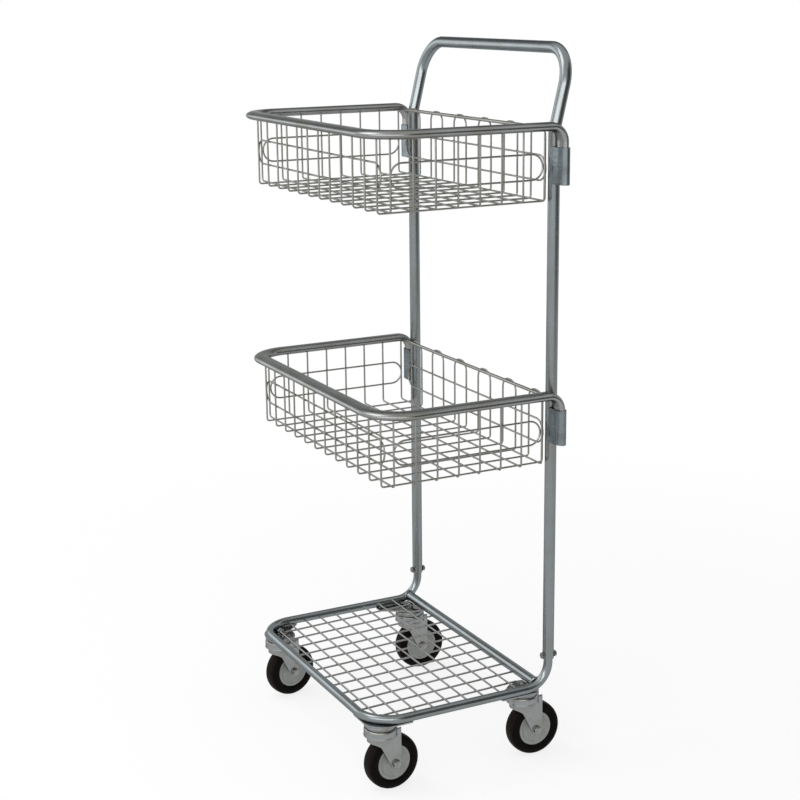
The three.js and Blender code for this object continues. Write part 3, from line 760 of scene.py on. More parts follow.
class Finish(Enum):
    """The finishes of the trolley's pieces."""

    # Drawn round tube: even bluish grey, the lines run along the tube.
    TUBE = ZincPlate("zinc_plate_drawn_tube", Slot.TUBE, "#7f8485", 0.25, "#82888b", "#7e817f", "#b4babc",
                     lines=0.25, bump_mm=0.006)
    # Flat oval tube: less blue than the round one.
    RIM = ZincPlate("zinc_plate_oval_tube", Slot.RIM, "#898a89", 0.28, "#8f9192", "#84857f", "#b4b6b6",
                    lines=0.35, bump_mm=0.006)
    # Drawn wire: duller, yellowish where the plating is thin.
    WIRE = ZincPlate("zinc_plate_drawn_wire", Slot.WIRE, "#92928d", 0.34, "#989a99", "#84827b", "#aeaeaa",
                     line_grains=WIRE_LINES, cloud_mm=60.0)
    # Welded mesh of the base: paler wire, plated after welding.
    GRID = ZincPlate("zinc_plate_welded_mesh", Slot.WIRE, "#969795", 0.34, "#9b9ea0", "#8d8c88", "#b2b3b2",
                     line_grains=WIRE_LINES, cloud_mm=60.0)
    # Pressed sheet: brighter, without a grain direction.
    SHEET = ZincPlate("zinc_plate_pressed_sheet", Slot.SHEET, "#8c8d8a", 0.28, "#8f9294", "#868682",
                      "#b4b6b6", lines=0.15, line_grains=(0.12, 0.12, 0.12), cloud_mm=24.0, bump_mm=0.006)
    # Sheet of the sockets: darkened by the heat of the weld, rolled lines upright.
    SOCKET = ZincPlate("zinc_plate_welded_sheet", Slot.SHEET, "#71787c", 0.3, "#7a8388", "#6c6f6e", "#a6acb0",
                       lines=0.4, line_grains=(0.01, 0.35, 0.35), cloud_mm=20.0, bump_mm=0.006)
    # Rolled bolts and nuts: small, rubbed on the corners by the spanner.
    BOLT = ZincPlate("zinc_plate_rolled_bolt", Slot.BOLT, "#8a8c88", 0.36, "#9a9c9c", "#7f7e78", "#b0b0ac",
                     lines=0.3, line_grains=(0.5, 0.5, 0.5), cloud_mm=7.0)
    # Weld beads: rippled, with the dark tints of the arc.
    WELD = ZincPlate("zinc_plate_weld_bead", Slot.SHEET, "#7e817f", 0.36, "#8a8d8e", "#706e68", "#a0a2a0",
                     lines=0.4, line_grains=(0.6, 0.6, 0.6), cloud_mm=9.0, bump_mm=0.05)
    WHEEL = MouldedGrey("grey_polypropylene_moulded", Slot.WHEEL, "#7b7d7a", 0.42, "#848785")
    # Tyre: its paler brown tread is partly real scuffing and partly a painted sheen.
    TYRE = TyreRubber("black_rubber_moulded", Slot.TYRE, "#040302", 0.5, "#1d1510", 46.0)


@dataclass
class Dresser:
    """Gives a finished surface its object, its body and its material."""

    materials: dict[Finish, bpy.types.Material] = field(default_factory=dict)

    def dress(self, name: str, surface: Surface, finish: Finish, body: str, node: str = "") -> None:
        """Makes one piece.

        Args:
            name: the piece's name.
            surface: its surface.
            finish: its finish, whose material the piece gets.
            body: the body that it rides on.
            node: the CAD node that it stands for, if any.
        """
        if finish not in self.materials:
            self.materials[finish] = finish.value.material()
        piece = surface.outward().shown(name)
        piece.data.materials.append(self.materials[finish])
        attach(piece, body)
        if node:
            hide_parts(node)
        log.info("%s: %d points, %s, rides on %s", name, len(piece.data.vertices), finish.name, body)


# Frame


@dataclass
class PushFrame:
    """The tube that forms both uprights and the handle, and the bolts that pin it to the base."""

    spread: float = UPRIGHT_X
    radius: float = UPRIGHT_RADIUS
    wall: float = 1.5
    bore: float = 60.0
    foot: float = 190.0
    bend_height: float = 1119.0
    bend_radius: float = 60.0
    reach: float = 32.0
    height: float = 1250.0
    pin_height: float = 197.0
    pin_radius: float = 3.0
    pin_flats: float = 10.0
    pin_pitch: float = 1.0
    pin_head: float = 3.2
    pin_nut: float = 4.2
    pin_past_nut: float = 1.3
    washer: float = 0.8
    washer_radius: float = 5.8

    def tube(self) -> Surface:
        """Returns the bent tube: a round section carried up one side, over the handle and down the other."""
        x = self.spread
        corners = [(-x, 0, self.foot), (-x, 0, self.bend_height), (-x, self.reach, self.height),
                   (x, self.reach, self.height), (x, 0, self.bend_height), (x, 0, self.foot)]
        route = routed(corners, [self.bend_radius] * 4, (1, 0, 0), degrees=4.0)
        return Section(self.radius, self.radius, self.wall, self.bore, 48).carried(route)

    def bolt(self) -> tuple[Surface, Surface]:
        """Returns the through bolt with its washers, and its nut, both about Z and across one upright."""
        seat = self.radius + GAP
        face = seat + self.washer
        top = face + self.pin_head
        low = -face - self.pin_nut
        disc = washer(self.washer_radius, seat - GAP, face, 0.2, 0.2, 36, 0.0)
        head = hexagon(self.pin_flats, face, top)
        dome = revolved([[4.6, top - 0.4], [4.2, top + 0.1], [2.6, top + 0.25], [CORE, top + 0.3]], 36)
        shank = revolved([[self.pin_radius, face + 0.2], [self.pin_radius, -seat]], 24)
        end = thread(self.pin_radius, -2.0, self.pin_past_nut - low - seat, self.pin_pitch)
        far = [end.placed(UPSIDE_DOWN, (0, 0, -seat)), disc.placed(UPSIDE_DOWN, (0, 0, 0))]
        return joined([disc, head, dome, shank, *far]), hexagon(self.pin_flats, low, -face, True)

    def build(self, dresser: Dresser) -> None:
        """Builds and dresses the tube, bolts and nuts.

        Args:
            dresser: gives each surface its object, body and finish.
        """
        chassis = Body.CHASSIS.value
        dresser.dress("push_tube", self.tube(), Finish.TUBE, chassis, "push_frame")
        across = np.array([[1.0, 0, 0], [0, 0, -1.0], [0, 1.0, 0]])  # the bolt's Z becomes -Y
        for side in Side:
            offset = (side.value * self.spread, 0, self.pin_height)
            for part, surface in zip(("bolt", "nut"), self.bolt()):
                placed = surface.placed(across, offset)
                dresser.dress(f"through_{part}_{side.word}", placed, Finish.BOLT, chassis,
                              f"upright_{part}_{side.word}")


@dataclass
class BaseFrame:
    """The base tube with its rear cross tube, the wire grid, the corner plates and their welds."""

    spread: float = UPRIGHT_X
    radius: float = 8.0
    wall: float = 1.5
    bore: float = 10.0
    height: float = 139.0
    depth: float = 347.0
    corner_radius: float = 60.0
    rise_radius: float = 45.0
    stub_top: float = 245.0
    cross_radius: float = 9.0
    cross_inset: float = 22.0
    cross_entry: float = 3.0  # how far the cross tube reaches into the base tube's flank
    wire: float = 1.75
    long_count: int = 12
    side_inset: float = 38.4
    cross_count: int = 9
    first_cross: float = 61.8
    front_inset: float = 25.2
    front_meet: float = 6.6  # from the front tube's middle line to where the lengthwise wires meet it
    rear_meet: float = 8.2  # from the cross tube's middle line to where they meet it
    rise_from: float = 7.0  # where the lengthwise wires start to rise, behind the front tube's middle line
    rise_to: float = 8.5  # where they end, in front of the cross tube's
    rear_drop: float = 5.5
    nut_x: float = 220.0
    nut_front: float = 319.0
    nut_rear: float = 34.0
    nut_reach: float = 7.8
    plate_top: float = 130.7
    plate: float = 3.0
    plate_past: float = 3.0  # how far the plates reach out past the tubes' middle lines
    plate_leg: float = 80.0
    rear_length: float = 76.0
    rear_width: float = 60.0
    rear_cut: float = 20.0

    @property
    def cross_height(self) -> float:
        """The cross tube's middle, on the middle line of the bends that rise to the uprights."""
        forward = self.rise_radius - self.cross_inset
        return self.height + self.rise_radius - float(np.sqrt(self.rise_radius**2 - forward**2))

    def tube(self) -> Surface:
        """Returns the base tube, carried down from one upright, round the base and up into the other."""
        x = self.spread
        corners = [(-x, 0, self.stub_top), (-x, 0, self.height), (-x, -self.depth, self.height),
                   (x, -self.depth, self.height), (x, 0, self.height), (x, 0, self.stub_top)]
        radii = [self.rise_radius, self.corner_radius, self.corner_radius, self.rise_radius]
        route = routed(corners, radii, (1, 0, 0), degrees=4.0)
        return Section(self.radius, self.radius, self.wall, self.bore, 40).carried(route)

    def cross_tube(self) -> Surface:
        """Returns the cross tube, carried straight across, with a weld bead round each end."""
        flank = self.spread - self.radius
        end = flank + self.cross_entry
        start, stop = ((x, -self.cross_inset, self.cross_height) for x in (-end, end))
        section = Section(self.cross_radius, self.cross_radius, self.wall, self.bore, 40)
        beads = [self.ring_bead(side * (flank + 0.4)) for side in (1, -1)]
        return joined([section.straight(start, stop, (0, 1, 0)), *beads])

    def ring_bead(self, x: float) -> Surface:
        """Makes a bead round the cross tube: a circle that leans over the base tube's flank.

        The circle's X moves by 2.6 sin(a)^2, which follows the round flank that it is welded to.

        Args:
            x: where it meets the flank.

        Returns:
            The bead.
        """
        angle = np.linspace(0, 2 * np.pi, 73)[:-1]
        radius = self.cross_radius + 0.5
        y, z = radius * np.cos(angle), radius * np.sin(angle)
        lean = np.sign(x) * 2.6 * (np.sin(angle)) ** 2
        points = np.stack([x + lean, -self.cross_inset + y, self.cross_height + z], -1)
        ahead = np.gradient(np.concatenate([points[-1:], points, points[:1]]), axis=0)[1:-1]
        ahead /= np.linalg.norm(ahead, axis=1)[:, None]
        out = np.stack([np.zeros_like(angle), np.cos(angle), np.sin(angle)], -1)
        out -= ahead * np.sum(out * ahead, axis=1)[:, None]
        route = Route(points, ahead, out / np.linalg.norm(out, axis=1)[:, None])
        return Section(2.0, 2.4, sides=10).carried(route, (0.22, 2 * np.pi * radius / 22), True)

    def wire_height(self, y: Any) -> Any:
        """Works out how high the lengthwise wires lie: an even rise from the front plates to the cross tube.

        Args:
            y: one or more places along the wires.

        Returns:
            The height of the wires' middle there.
        """
        low, high = self.plate_top + GAP + self.wire, self.cross_height - self.rear_drop
        front, rear = -self.depth + self.rise_from, -self.cross_inset - self.rise_to
        return low + (high - low) * (y - front) / (rear - front)

    def grid(self) -> Surface:
        """Returns the welded wires: straight bars both ways, a nugget at each crossing and at each end."""
        section = bar(self.wire, 10)
        xs = np.linspace(-1, 1, self.long_count) * (self.spread - self.side_inset)
        ys = -np.linspace(self.first_cross, self.depth - self.front_inset, self.cross_count)
        wires, ends = [], []
        for x in xs:
            beside_nut = abs(abs(x) - self.nut_x) < self.nut_reach + self.wire
            front, rear = -self.depth + self.front_meet - BITE, -self.cross_inset - self.rear_meet + BITE
            if beside_nut:
                front, rear = -self.nut_front + self.nut_reach, -self.nut_rear - self.nut_reach
            places = [(x, y, self.wire_height(y)) for y in (front, rear)]
            wires.append(section.straight(*places, (1, 0, 0), 16.4))
            ends += [] if beside_nut else places
        for y in ys:
            z = self.wire_height(y) + 2 * self.wire - GAP
            beside_nut = abs(-y - self.nut_front) < self.nut_reach + self.wire
            face = self.spread - float(np.sqrt(self.radius**2 - (z - self.height) ** 2))
            end = self.nut_x - self.nut_reach if beside_nut else face + BITE
            wires.append(section.straight((-end, y, z), (end, y, z), (0, 1, 0), 19.4))
            ends += [] if beside_nut else [(BITE - end, y, z), (end - BITE, y, z)]
        x, y = (values.ravel() for values in np.meshgrid(xs, ys))
        crossings = np.stack([x, y, self.wire_height(y) + self.wire - GAP / 2], -1)
        welded = (np.abs(x) < self.nut_x - 2 * self.nut_reach) | (-y < self.nut_front - self.nut_reach)
        spots = nuggets(crossings[welded], (2.3, 2.3, 1.5))
        return joined([*wires, spots, nuggets(np.array(ends), (2.2, 2.2, 2.0))])

    def plate_of(self, corners: Sequence[Vector], radii: Vector, degrees: float, middle: Vector) -> Surface:
        """Makes a corner plate of the left side, with rounded corners and soft edges.

        Args:
            corners: the outline's corners, of which the first and last are one place on an edge.
            radii: the bend radius of each other corner.
            degrees: longest step in a bend.
            middle: a place inside that sees the whole outline.

        Returns:
            The plate.
        """
        low, high = self.plate_top - self.plate, self.plate_top
        layers = [[0.8, low], [0.25, low + 0.2], [0.0, low + 0.8], [0.0, high - 0.6], [0.2, high - 0.15],
                  [0.6, high]]
        flat = [(x, y, 0) for x, y in corners]
        return layered(routed(flat, radii, (0, 0, 1), 6.0, degrees).points[:-1, :2], layers, middle)

    def front_plate(self) -> Surface:
        """Returns a triangular plate whose outer corner follows the tube's bend."""
        x, y = self.spread + self.plate_past, -self.depth - self.plate_past
        leg, radius = self.plate_leg + self.plate_past, self.corner_radius + self.plate_past
        corners = [(x, y + leg / 2), (x, y), (x - leg, y), (x, y + leg), (x, y + leg / 2)]
        return self.plate_of(corners, [radius * 0.55, 3.0, 3.0], 9.0, (x - leg * 0.34, y + leg * 0.34))

    def rear_plate(self) -> Surface:
        """Returns a plate under the side tube and the cross tube, with its inner corner cut off."""
        x, y, cut = self.spread + self.plate_past, -self.cross_inset + self.plate_past, self.rear_cut
        corners = [(x, y - cut), (x, y), (x - self.rear_width, y), (x - self.rear_width, y - 14),
                   (x - cut, y - self.rear_length), (x, y - self.rear_length), (x, y - cut)]
        return self.plate_of(corners, [3.0, 4.0, 5.0, 6.0, 3.0], 15.0, (x - 22, y - 26))

    def plate_welds(self) -> Surface:
        """Returns the beads between the tubes and the plates of the left side."""
        z, inset = self.plate_top + 0.9, 5.6
        x, y = self.spread - inset, -self.depth + inset
        runs = [[(x, -self.depth + 34, z), (x, -self.depth + 74, z)],
                [(self.spread - 74, y, z), (self.spread - 34, y, z)], [(x, -92, z), (x, -52, z)]]
        return joined([bead(*run, (0, 0, 1), 2.0, (0.25, 2.6)) for run in runs])

    def build(self, dresser: Dresser) -> None:
        """Builds and dresses the base.

        Args:
            dresser: gives each surface its object, body and finish.
        """
        chassis = Body.CHASSIS.value
        dresser.dress("base_tube", self.tube(), Finish.TUBE, chassis, "base_frame")
        dresser.dress("cross_tube", self.cross_tube(), Finish.TUBE, chassis, "rear_cross_tube")
        dresser.dress("base_wire_grid", self.grid(), Finish.GRID, chassis, "base_mesh")
        for side in Side:
            for end, plate in (("front", self.front_plate()), ("rear", self.rear_plate())):
                dresser.dress(f"{end}_plate_{side.word}", plate.mirrored(side), Finish.SHEET, chassis,
                              f"corner_plate_{end}_{side.word}")
            welds = self.plate_welds().mirrored(side)
            dresser.dress(f"plate_welds_{side.word}", welds, Finish.WELD, chassis)


# Baskets


@dataclass
class Basket:
    """A lift-off basket: oval rim, bent wires, rear rod and four rings, with the sockets that hold it."""

    body: Body
    height: float
    half_width: float = 275.3
    rim_wide: float = 15.0
    rim_deep: float = 7.5
    rim_wall: float = 1.5
    rim_bore: float = 10.0
    reach: float = 335.0
    corner_radius: float = 60.0
    bend_radius: float = 25.0
    leg: float = 60.0
    wire: float = 1.6
    wire_bend: float = 5.0
    wire_press: float = 0.4  # how far welding presses two crossing wires into each other
    depth: float = 124.5
    inset: float = 13.0
    pitch: float = 44.2
    hairpins: int = 6
    cross_pitch: float = 40.3
    cross_count: int = 8
    cross_middle: float = 167.0
    rod: float = 3.0
    rod_drop: float = 4.0
    arch: float = 2.6
    arch_radius: float = 18.0
    ring_drop: float = 66.0
    rear_ring_drop: float = 70.5
    ring_rise: float = 21.0
    ring_gap: float = 0.1
    front_ring: float = 250.0
    side_ring: float = 139.5
    socket_height: float = 61.0
    socket_below: float = GAP  # from the lower end of the rim's bend down to the socket
    socket_sheet: float = 2.0
    socket_stand: float = 7.8  # how far off the upright's middle the socket's ends meet it
    socket_bead: tuple[float, float] = (7.1, 9.0)  # from the upright's middle to a weld bead

    def rim(self) -> Surface:
        """Returns the flat oval rim tube, from one leg round the basket to the other."""
        x = self.half_width
        foot = -self.bend_radius - self.leg
        corners = [(-x, 0, foot), (-x, 0, 0), (-x, -self.reach, 0), (x, -self.reach, 0), (x, 0, 0),
                   (x, 0, foot)]
        radii = [self.bend_radius, self.corner_radius, self.corner_radius, self.bend_radius]
        route = routed(corners, radii, (1, 0, 0), degrees=4.0)
        return Section(self.rim_wide, self.rim_deep, self.rim_wall, self.rim_bore, 48).carried(route)

    def under_rim(self, x: float, y: float) -> float:
        """Works out where a wire meets the rim.

        The rim's underside lies depth * sqrt(1 - (offset / width)^2) below its middle, with offset the
        distance from the rim's middle line.

        Args:
            x, y: where the wire stands.

        Returns:
            The height at which it has sunk into the rim.
        """
        over_x = abs(x) - (self.half_width - self.corner_radius)
        over_y = -(self.reach - self.corner_radius) - y
        if over_x > 0 and over_y > 0:
            offset = self.corner_radius - float(np.hypot(over_x, over_y))
        else:
            offset = self.half_width - abs(x) if over_x > 0 else y + self.reach
        offset = max(0.0, abs(offset) - self.wire)
        return -self.rim_deep * float(np.sqrt(max(0.0, 1 - (offset / self.rim_wide) ** 2))) + BITE

    def hairpin_places(self) -> Array:
        """Returns the X of the first wire of each hairpin."""
        return (np.arange(self.hairpins) * 2 - self.hairpins + 0.5) * self.pitch

    def long_places(self) -> Array:
        """Returns the X of each lengthwise wire, first the first wires of the hairpins."""
        return np.concatenate([self.hairpin_places(), self.hairpin_places() + self.pitch])

    def cross_places(self) -> Array:
        """Returns the Y of each crosswise wire."""
        steps = np.arange(self.cross_count) - (self.cross_count - 1) / 2
        return -self.cross_middle + steps * self.cross_pitch

    def hairpin(self, x: float) -> Surface:
        """Makes a wire down from the front rim, under the floor, up the rear wall, over in an arch and back.

        Args:
            x: where its first wire lies.

        Returns:
            The wire.
        """
        front, rear, far, low = -self.reach + self.inset, -self.inset, x + self.pitch, -self.depth
        top = self.arch - self.rod_drop
        start, end = self.under_rim(x, front), self.under_rim(far, front)
        corners = [(x, front, start), (x, front, low), (x, rear, low), (x, rear, top),
                   (far, rear, top), (far, rear, low), (far, front, low), (far, front, end)]
        bend, arch = self.wire_bend, self.arch_radius
        route = routed(corners, [bend, bend, arch, arch, bend, bend], (1, 0, 0), 30.0, 12.0)
        return bar(self.wire).carried(route)

    def cross_wire(self, y: float) -> Surface:
        """Makes a wire from one side rim down, across over the lengthwise wires and up to the other side.

        Args:
            y: where it lies.

        Returns:
            The wire.
        """
        x, low = self.half_width - self.inset, -self.depth + 2 * self.wire - self.wire_press
        top = self.under_rim(x, y)
        corners = [(-x, y, top), (-x, y, low), (x, y, low), (x, y, top)]
        return bar(self.wire).carried(routed(corners, [self.wire_bend] * 2, (0, 1, 0), 30.0, 12.0))

    def wires(self) -> Surface:
        """Returns all bent wires with a nugget where they cross in the floor."""
        places = np.stack(np.meshgrid(self.long_places(), self.cross_places()), -1).reshape(-1, 2)
        low = np.full((len(places), 1), -self.depth + self.wire - self.wire_press / 2)
        spots = nuggets(np.concatenate([places, low], 1), (2.1, 2.1, 1.3))
        lengthwise = map(self.hairpin, self.hairpin_places())
        return joined([*lengthwise, *map(self.cross_wire, self.cross_places()), spots])

    def rear_rod(self) -> Surface:
        """Returns the rod inside the hairpins' arches, welded to both side rims."""
        end = self.half_width - self.rim_wide + BITE
        y = -self.inset - self.wire - GAP - self.rod
        return bar(self.rod, 16).straight((-end, y, -self.rod_drop), (end, y, -self.rod_drop), (0, 1, 0))

    def ring(self, half: float) -> Surface:
        """Makes a wire ring in the plane of X and Z: two straight runs joined by half circles.

        Args:
            half: half its length.

        Returns:
            The ring, closed on itself.
        """
        rise = self.ring_rise
        corners = [(0, 0, -rise), (half, 0, -rise), (half, 0, rise), (-half, 0, rise), (-half, 0, -rise),
                   (0, 0, -rise)]
        route = routed(corners, [rise - 0.01] * 4, (0, 1, 0), 30.0, 10.0)
        open_route = Route(route.points[:-1], route.ahead[:-1], route.side[:-1])
        return bar(self.wire).carried(open_route, looped=True)

    def build_rings(self, dresser: Dresser) -> None:
        """Builds the ring on each wall, with its nuggets on the wires that it crosses.

        Args:
            dresser: gives each surface its object, body and finish.
        """
        name = self.body.value
        step = self.wire * 2 + self.ring_gap
        half_step = step / 2
        xs, ys = self.long_places(), self.cross_places() + self.cross_middle
        quarter = np.array([[0.0, -1, 0], [1, 0, 0], [0, 0, 1]])
        walls = [
            ("front", (0, -self.reach + self.inset + step, -self.ring_drop), -half_step),
            ("rear", (0, -self.inset - step, -self.rear_ring_drop), half_step),
        ]
        for side in Side:
            x = side.value * (self.half_width - self.inset - step)
            walls.append((side.word, (x, -self.cross_middle, -self.ring_drop), side.value * half_step))
        for wall, place, out in walls:
            lengthwise = place[0] != 0
            half, turn = (self.side_ring, quarter) if lengthwise else (self.front_ring, np.eye(3))
            crossings = np.meshgrid(ys if lengthwise else xs, (-self.ring_rise, self.ring_rise))
            along, z = (values.ravel() for values in crossings)
            off = np.full(along.size, out)
            spots = np.stack([off, along, z] if lengthwise else [along, off, z], -1) + place
            size = (1.2, 2.0, 2.0) if lengthwise else (2.0, 1.2, 2.0)
            near = np.abs(along) < half - self.ring_rise + 4
            surface = joined([self.ring(half).placed(turn, place), nuggets(spots[near], size)])
            dresser.dress(f"{name}_wall_ring_{wall}", surface.raised(self.height), Finish.WIRE, name,
                          f"{name}_ring_{wall}")

    def socket(self) -> Surface:
        """Returns the left socket: a strip bent round the rim's leg, back to the upright, with its welds.

        The strip's middle line in plan is an ellipse on its outer half and straight lines to the upright. The
        section across it is the sheet, with rounded edges, standing from the socket's foot to its top.
        """
        top = -self.bend_radius - self.socket_below
        gap = GAP + self.socket_sheet / 2
        a, b = self.rim_wide + gap, self.rim_deep + gap
        meet = float(np.sqrt((UPRIGHT_RADIUS + GAP) ** 2 - self.socket_stand**2))
        foot = UPRIGHT_X + meet - self.half_width
        angle = np.radians(np.linspace(-90, 90, 41))
        straight = np.linspace(foot, 0, 8)[:-1]
        x = np.concatenate([straight, a * np.cos(angle), straight[::-1]])
        y = np.concatenate([np.full(7, -b), b * np.sin(angle), np.full(7, b)])
        ahead = np.gradient(np.stack([x, y, np.zeros_like(x)], -1), axis=0)
        ahead /= np.linalg.norm(ahead, axis=1)[:, None]
        points = np.stack([x + self.half_width, y, np.full_like(x, top - self.socket_height / 2)], -1)
        side = np.cross(ahead, (0.0, 0.0, 1.0))
        tall, thick, soft = self.socket_height / 2, self.socket_sheet / 2, 0.5
        z = np.array([-tall, -tall + soft, -tall / 3, tall / 3, tall - soft, tall])
        w = np.where(np.abs(z) == tall, thick - soft, thick)
        outline = np.concatenate([np.stack([w, z], -1), np.stack([-w, z], -1)[::-1]])
        rings = points[:, None] + outline[None, :, :1] * side[:, None] + outline[None, :, 1:] * np.eye(3)[2]
        beads = []
        across, along = self.socket_bead
        for flank in (along, -along):
            low, high = ((UPRIGHT_X + across, flank, z) for z in (top - self.socket_height + 4, top - 4))
            beads.append(bead(low, high, (1, 0, 0), 1.9, (0.28, 2.8)))
        return joined([skin(rings, rings), *beads])

    def build(self, dresser: Dresser) -> None:
        """Builds and dresses the basket, and its sockets on the chassis.

        Args:
            dresser: gives each surface its object, body and finish.
        """
        name = self.body.value
        parts = [("rim_tube", self.rim(), Finish.RIM, "rim"),
                 ("bent_wires", self.wires(), Finish.WIRE, "wires"),
                 ("rod", self.rear_rod(), Finish.WIRE, "rear_rod")]
        for part, surface, finish, node in parts:
            dresser.dress(f"{name}_{part}", surface.raised(self.height), finish, name, f"{name}_{node}")
        self.build_rings(dresser)
        for side in Side:
            socket = self.socket().raised(self.height).mirrored(side)
            dresser.dress(f"{name}_holder_{side.word}", socket, Finish.SOCKET, Body.CHASSIS.value,
                          f"{name}_socket_{side.word}")


# Castors


@dataclass
class Castor:
    """A swivel castor, made about its swivel axis, with X along the axle, Y trailing and Z up."""

    name: str
    x: float
    y: float
    turn: float
    trail: float = 20.0
    axle_height: float = 50.0
    plate_bottom: float = 127.7
    plate_top: float = 130.7
    race_radius: float = 29.0
    race_height: float = 8.4
    stem: float = 4.0
    stem_past_nut: float = 2.0
    crown_radius: float = 30.0
    crown_height: float = 14.5
    fork_gap: float = 32.0
    sheet: float = 2.5
    foot: float = 10.0
    setback: float = 9.0
    front_reach: float = 14.0
    skirt: float = 11.0
    corner_drop: float = 7.0
    nut_flats: float = 13.0
    nut: float = 5.4
    axle_head: float = 4.0
    axle_nut_height: float = 5.5
    axle_washer: float = 1.0
    stem_washer: float = 1.1

    @property
    def race_top(self) -> float:
        """Top of the ball race."""
        return self.plate_bottom - GAP

    @property
    def crown_top(self) -> float:
        """Top of the fork's crown."""
        return self.race_top - self.race_height - GAP

    @property
    def crown_bottom(self) -> float:
        """Lower edge of the fork's crown."""
        return self.crown_top - self.crown_height

    @property
    def cheek(self) -> float:
        """From the middle of the axle to where the bolt and the nut seat on the fork."""
        return self.fork_gap / 2 + self.sheet + GAP

    def head(self) -> Surface:
        """Returns the ball race with its pressed steps, the king pin's rivet and the threaded stem."""
        r, top, rivet = self.race_radius, self.race_top, self.crown_bottom - GAP
        low = top - self.race_height
        outline = [[CORE, top], [r - 2.4, top], [r, top - 1.2], [r, top - 4.6], [r - 1.4, top - 5.6],
                   [r - 2.6, top - 6.0], [r - 2.6, low], [CORE, low]]
        race = revolved(rounded(outline, [0.0, 1.2, 1.0, 0.8, 0.5, 0.4, 0.3]))
        pin = revolved([[6, low + 1], [6, rivet], [9, rivet], [8.6, rivet - 1.3], [5, rivet - 2.0],
                        [CORE, rivet - 2.0]], 36)
        end = self.plate_top + GAP + self.stem_washer + self.nut + self.stem_past_nut
        return joined([race, pin, thread(self.stem, top - 1, end)])

    def stem_nut(self) -> Surface:
        """Returns the nut on the stem over the corner plate, with its washer."""
        low = self.plate_top + GAP
        face = low + self.stem_washer
        disc = washer(7.6, low - GAP, face, 0.2, GAP, 36)
        return joined([disc, hexagon(self.nut_flats, face, face + self.nut, True)])

    def crown(self) -> Surface:
        """Returns the crown: a drum pressed from the fork's sheet, open below, with a rolled lip."""
        r, top, low, t = self.crown_radius, self.crown_top, self.crown_bottom, self.sheet
        outline = [[7, top], [r - 2.2, top], [r - 0.6, top - 2.6], [r - 0.9, low + 3.0], [r, low],
                   [r - t, low], [r - t - 0.8, low + 3.0], [r - t - 0.6, top - t], [7, top - t]]
        return revolved(rounded(outline, [2.2, 2.0, 1.6, 0.5, 0.5, 1.6, 1.6]), 84, True)

    def plan(self) -> tuple[Array, Array, Array]:
        """Works out the fork's middle line in plan: back along one leg, round the front, along the other.

        The front is half an ellipse: (half cos a, -setback + reach sin a), with a from 0 to -180 degrees.

        Returns:
            Its places, its outward directions, and for each whether it lies on a leg (1) or the front (0).
        """
        half = self.fork_gap / 2 + self.sheet / 2
        y = np.linspace(self.trail + self.foot, -self.setback, 58)
        around = np.radians(np.linspace(0, -180, 49))[1:-1]
        ellipse = np.stack([half * np.cos(around), -self.setback + self.front_reach * np.sin(around)], -1)
        places = np.concatenate([
            np.stack([np.full_like(y, half), y], -1),
            ellipse,
            np.stack([np.full_like(y, -half), y[::-1]], -1),
        ])
        front = np.stack([np.cos(around) / half, np.sin(around) / self.front_reach], -1)
        front /= np.linalg.norm(front, axis=1, keepdims=True)
        out = np.concatenate([np.tile([1.0, 0.0], (len(y), 1)), front, np.tile([-1.0, 0.0], (len(y), 1))])
        return places, out, np.concatenate([np.ones(len(y)), np.zeros(len(around)), np.ones(len(y))])

    def lower_edge(self, y: Array, leg: Array) -> Array:
        """Works out the fork's lower edge.

        Round the front it falls from the middle to the legs by corner_drop * (1 - s)^2, with s the share of
        the front's reach. On a leg it is the tangent from there down to the foot's circle, and then the
        circle's lower half, axle - sqrt(foot^2 - (y - trail)^2).

        Args:
            y: how far back each place of the plan lies.
            leg: whether it lies on a leg.

        Returns:
            The height of the edge there.
        """
        low = self.crown_bottom - self.skirt - self.corner_drop
        dy, dz = -self.setback - self.trail, low - self.axle_height
        angle = np.arctan2(dz, dy) + np.arccos(self.foot / np.hypot(dy, dz))
        ty, tz = self.trail + self.foot * np.cos(angle), self.axle_height + self.foot * np.sin(angle)
        slant = low + (y + self.setback) * (tz - low) / (ty + self.setback)
        circle = self.axle_height - np.sqrt(np.clip(self.foot**2 - (y - self.trail) ** 2, 0, None))
        edge = np.where(y < ty, slant, circle)
        forward = np.clip((-self.setback - y) / self.front_reach, 0, 1)
        return np.where(leg > 0, np.minimum(edge, low), low + self.corner_drop * forward * (2 - forward))

    def fork(self) -> Surface:
        """Returns the pressed fork: one sheet round the front and down both creased legs, and the crown.

        The sheet is its middle line moved out by offset(y) + thickness * w, with w from -1/2 to 1/2, and
        offset a smooth step of 1.0 mm where y passes 6.5 mm, which is the raised rear half of a leg.
        """
        places, out, leg = self.plan()
        top = self.crown_top - 2.0
        bottom = self.lower_edge(places[:, 1], leg)
        step = np.clip((places[:, 1] - 5.5) / 2.0, 0, 1)
        step = step**2 * (3 - 2 * step) * leg
        share = np.concatenate([[0.0], np.linspace(0.012, 0.988, 15), [1.0]])
        w = np.concatenate([[0.28], np.full(15, 0.5), [0.28]])
        height = top + np.concatenate([share, share[::-1]]) * (bottom - top)[:, None]
        dished = np.clip((height - (self.axle_height + 12)) / 14, 0, 1)  # the step runs out above the foot
        offset = step[:, None] * dished + self.sheet * np.concatenate([w, -w])
        plan = places[:, None] + out[:, None] * offset[..., None]
        rings = np.concatenate([plan, height[..., None]], -1)
        return joined([skin(rings, rings), self.crown()])

    def axle(self, piece: Surface) -> Surface:
        """Returns a piece made about Z laid along the axle."""
        lay_down = np.array([[0.0, 0, 1], [0, 1, 0], [-1, 0, 0]])
        return piece.placed(lay_down, (0, self.trail, self.axle_height))

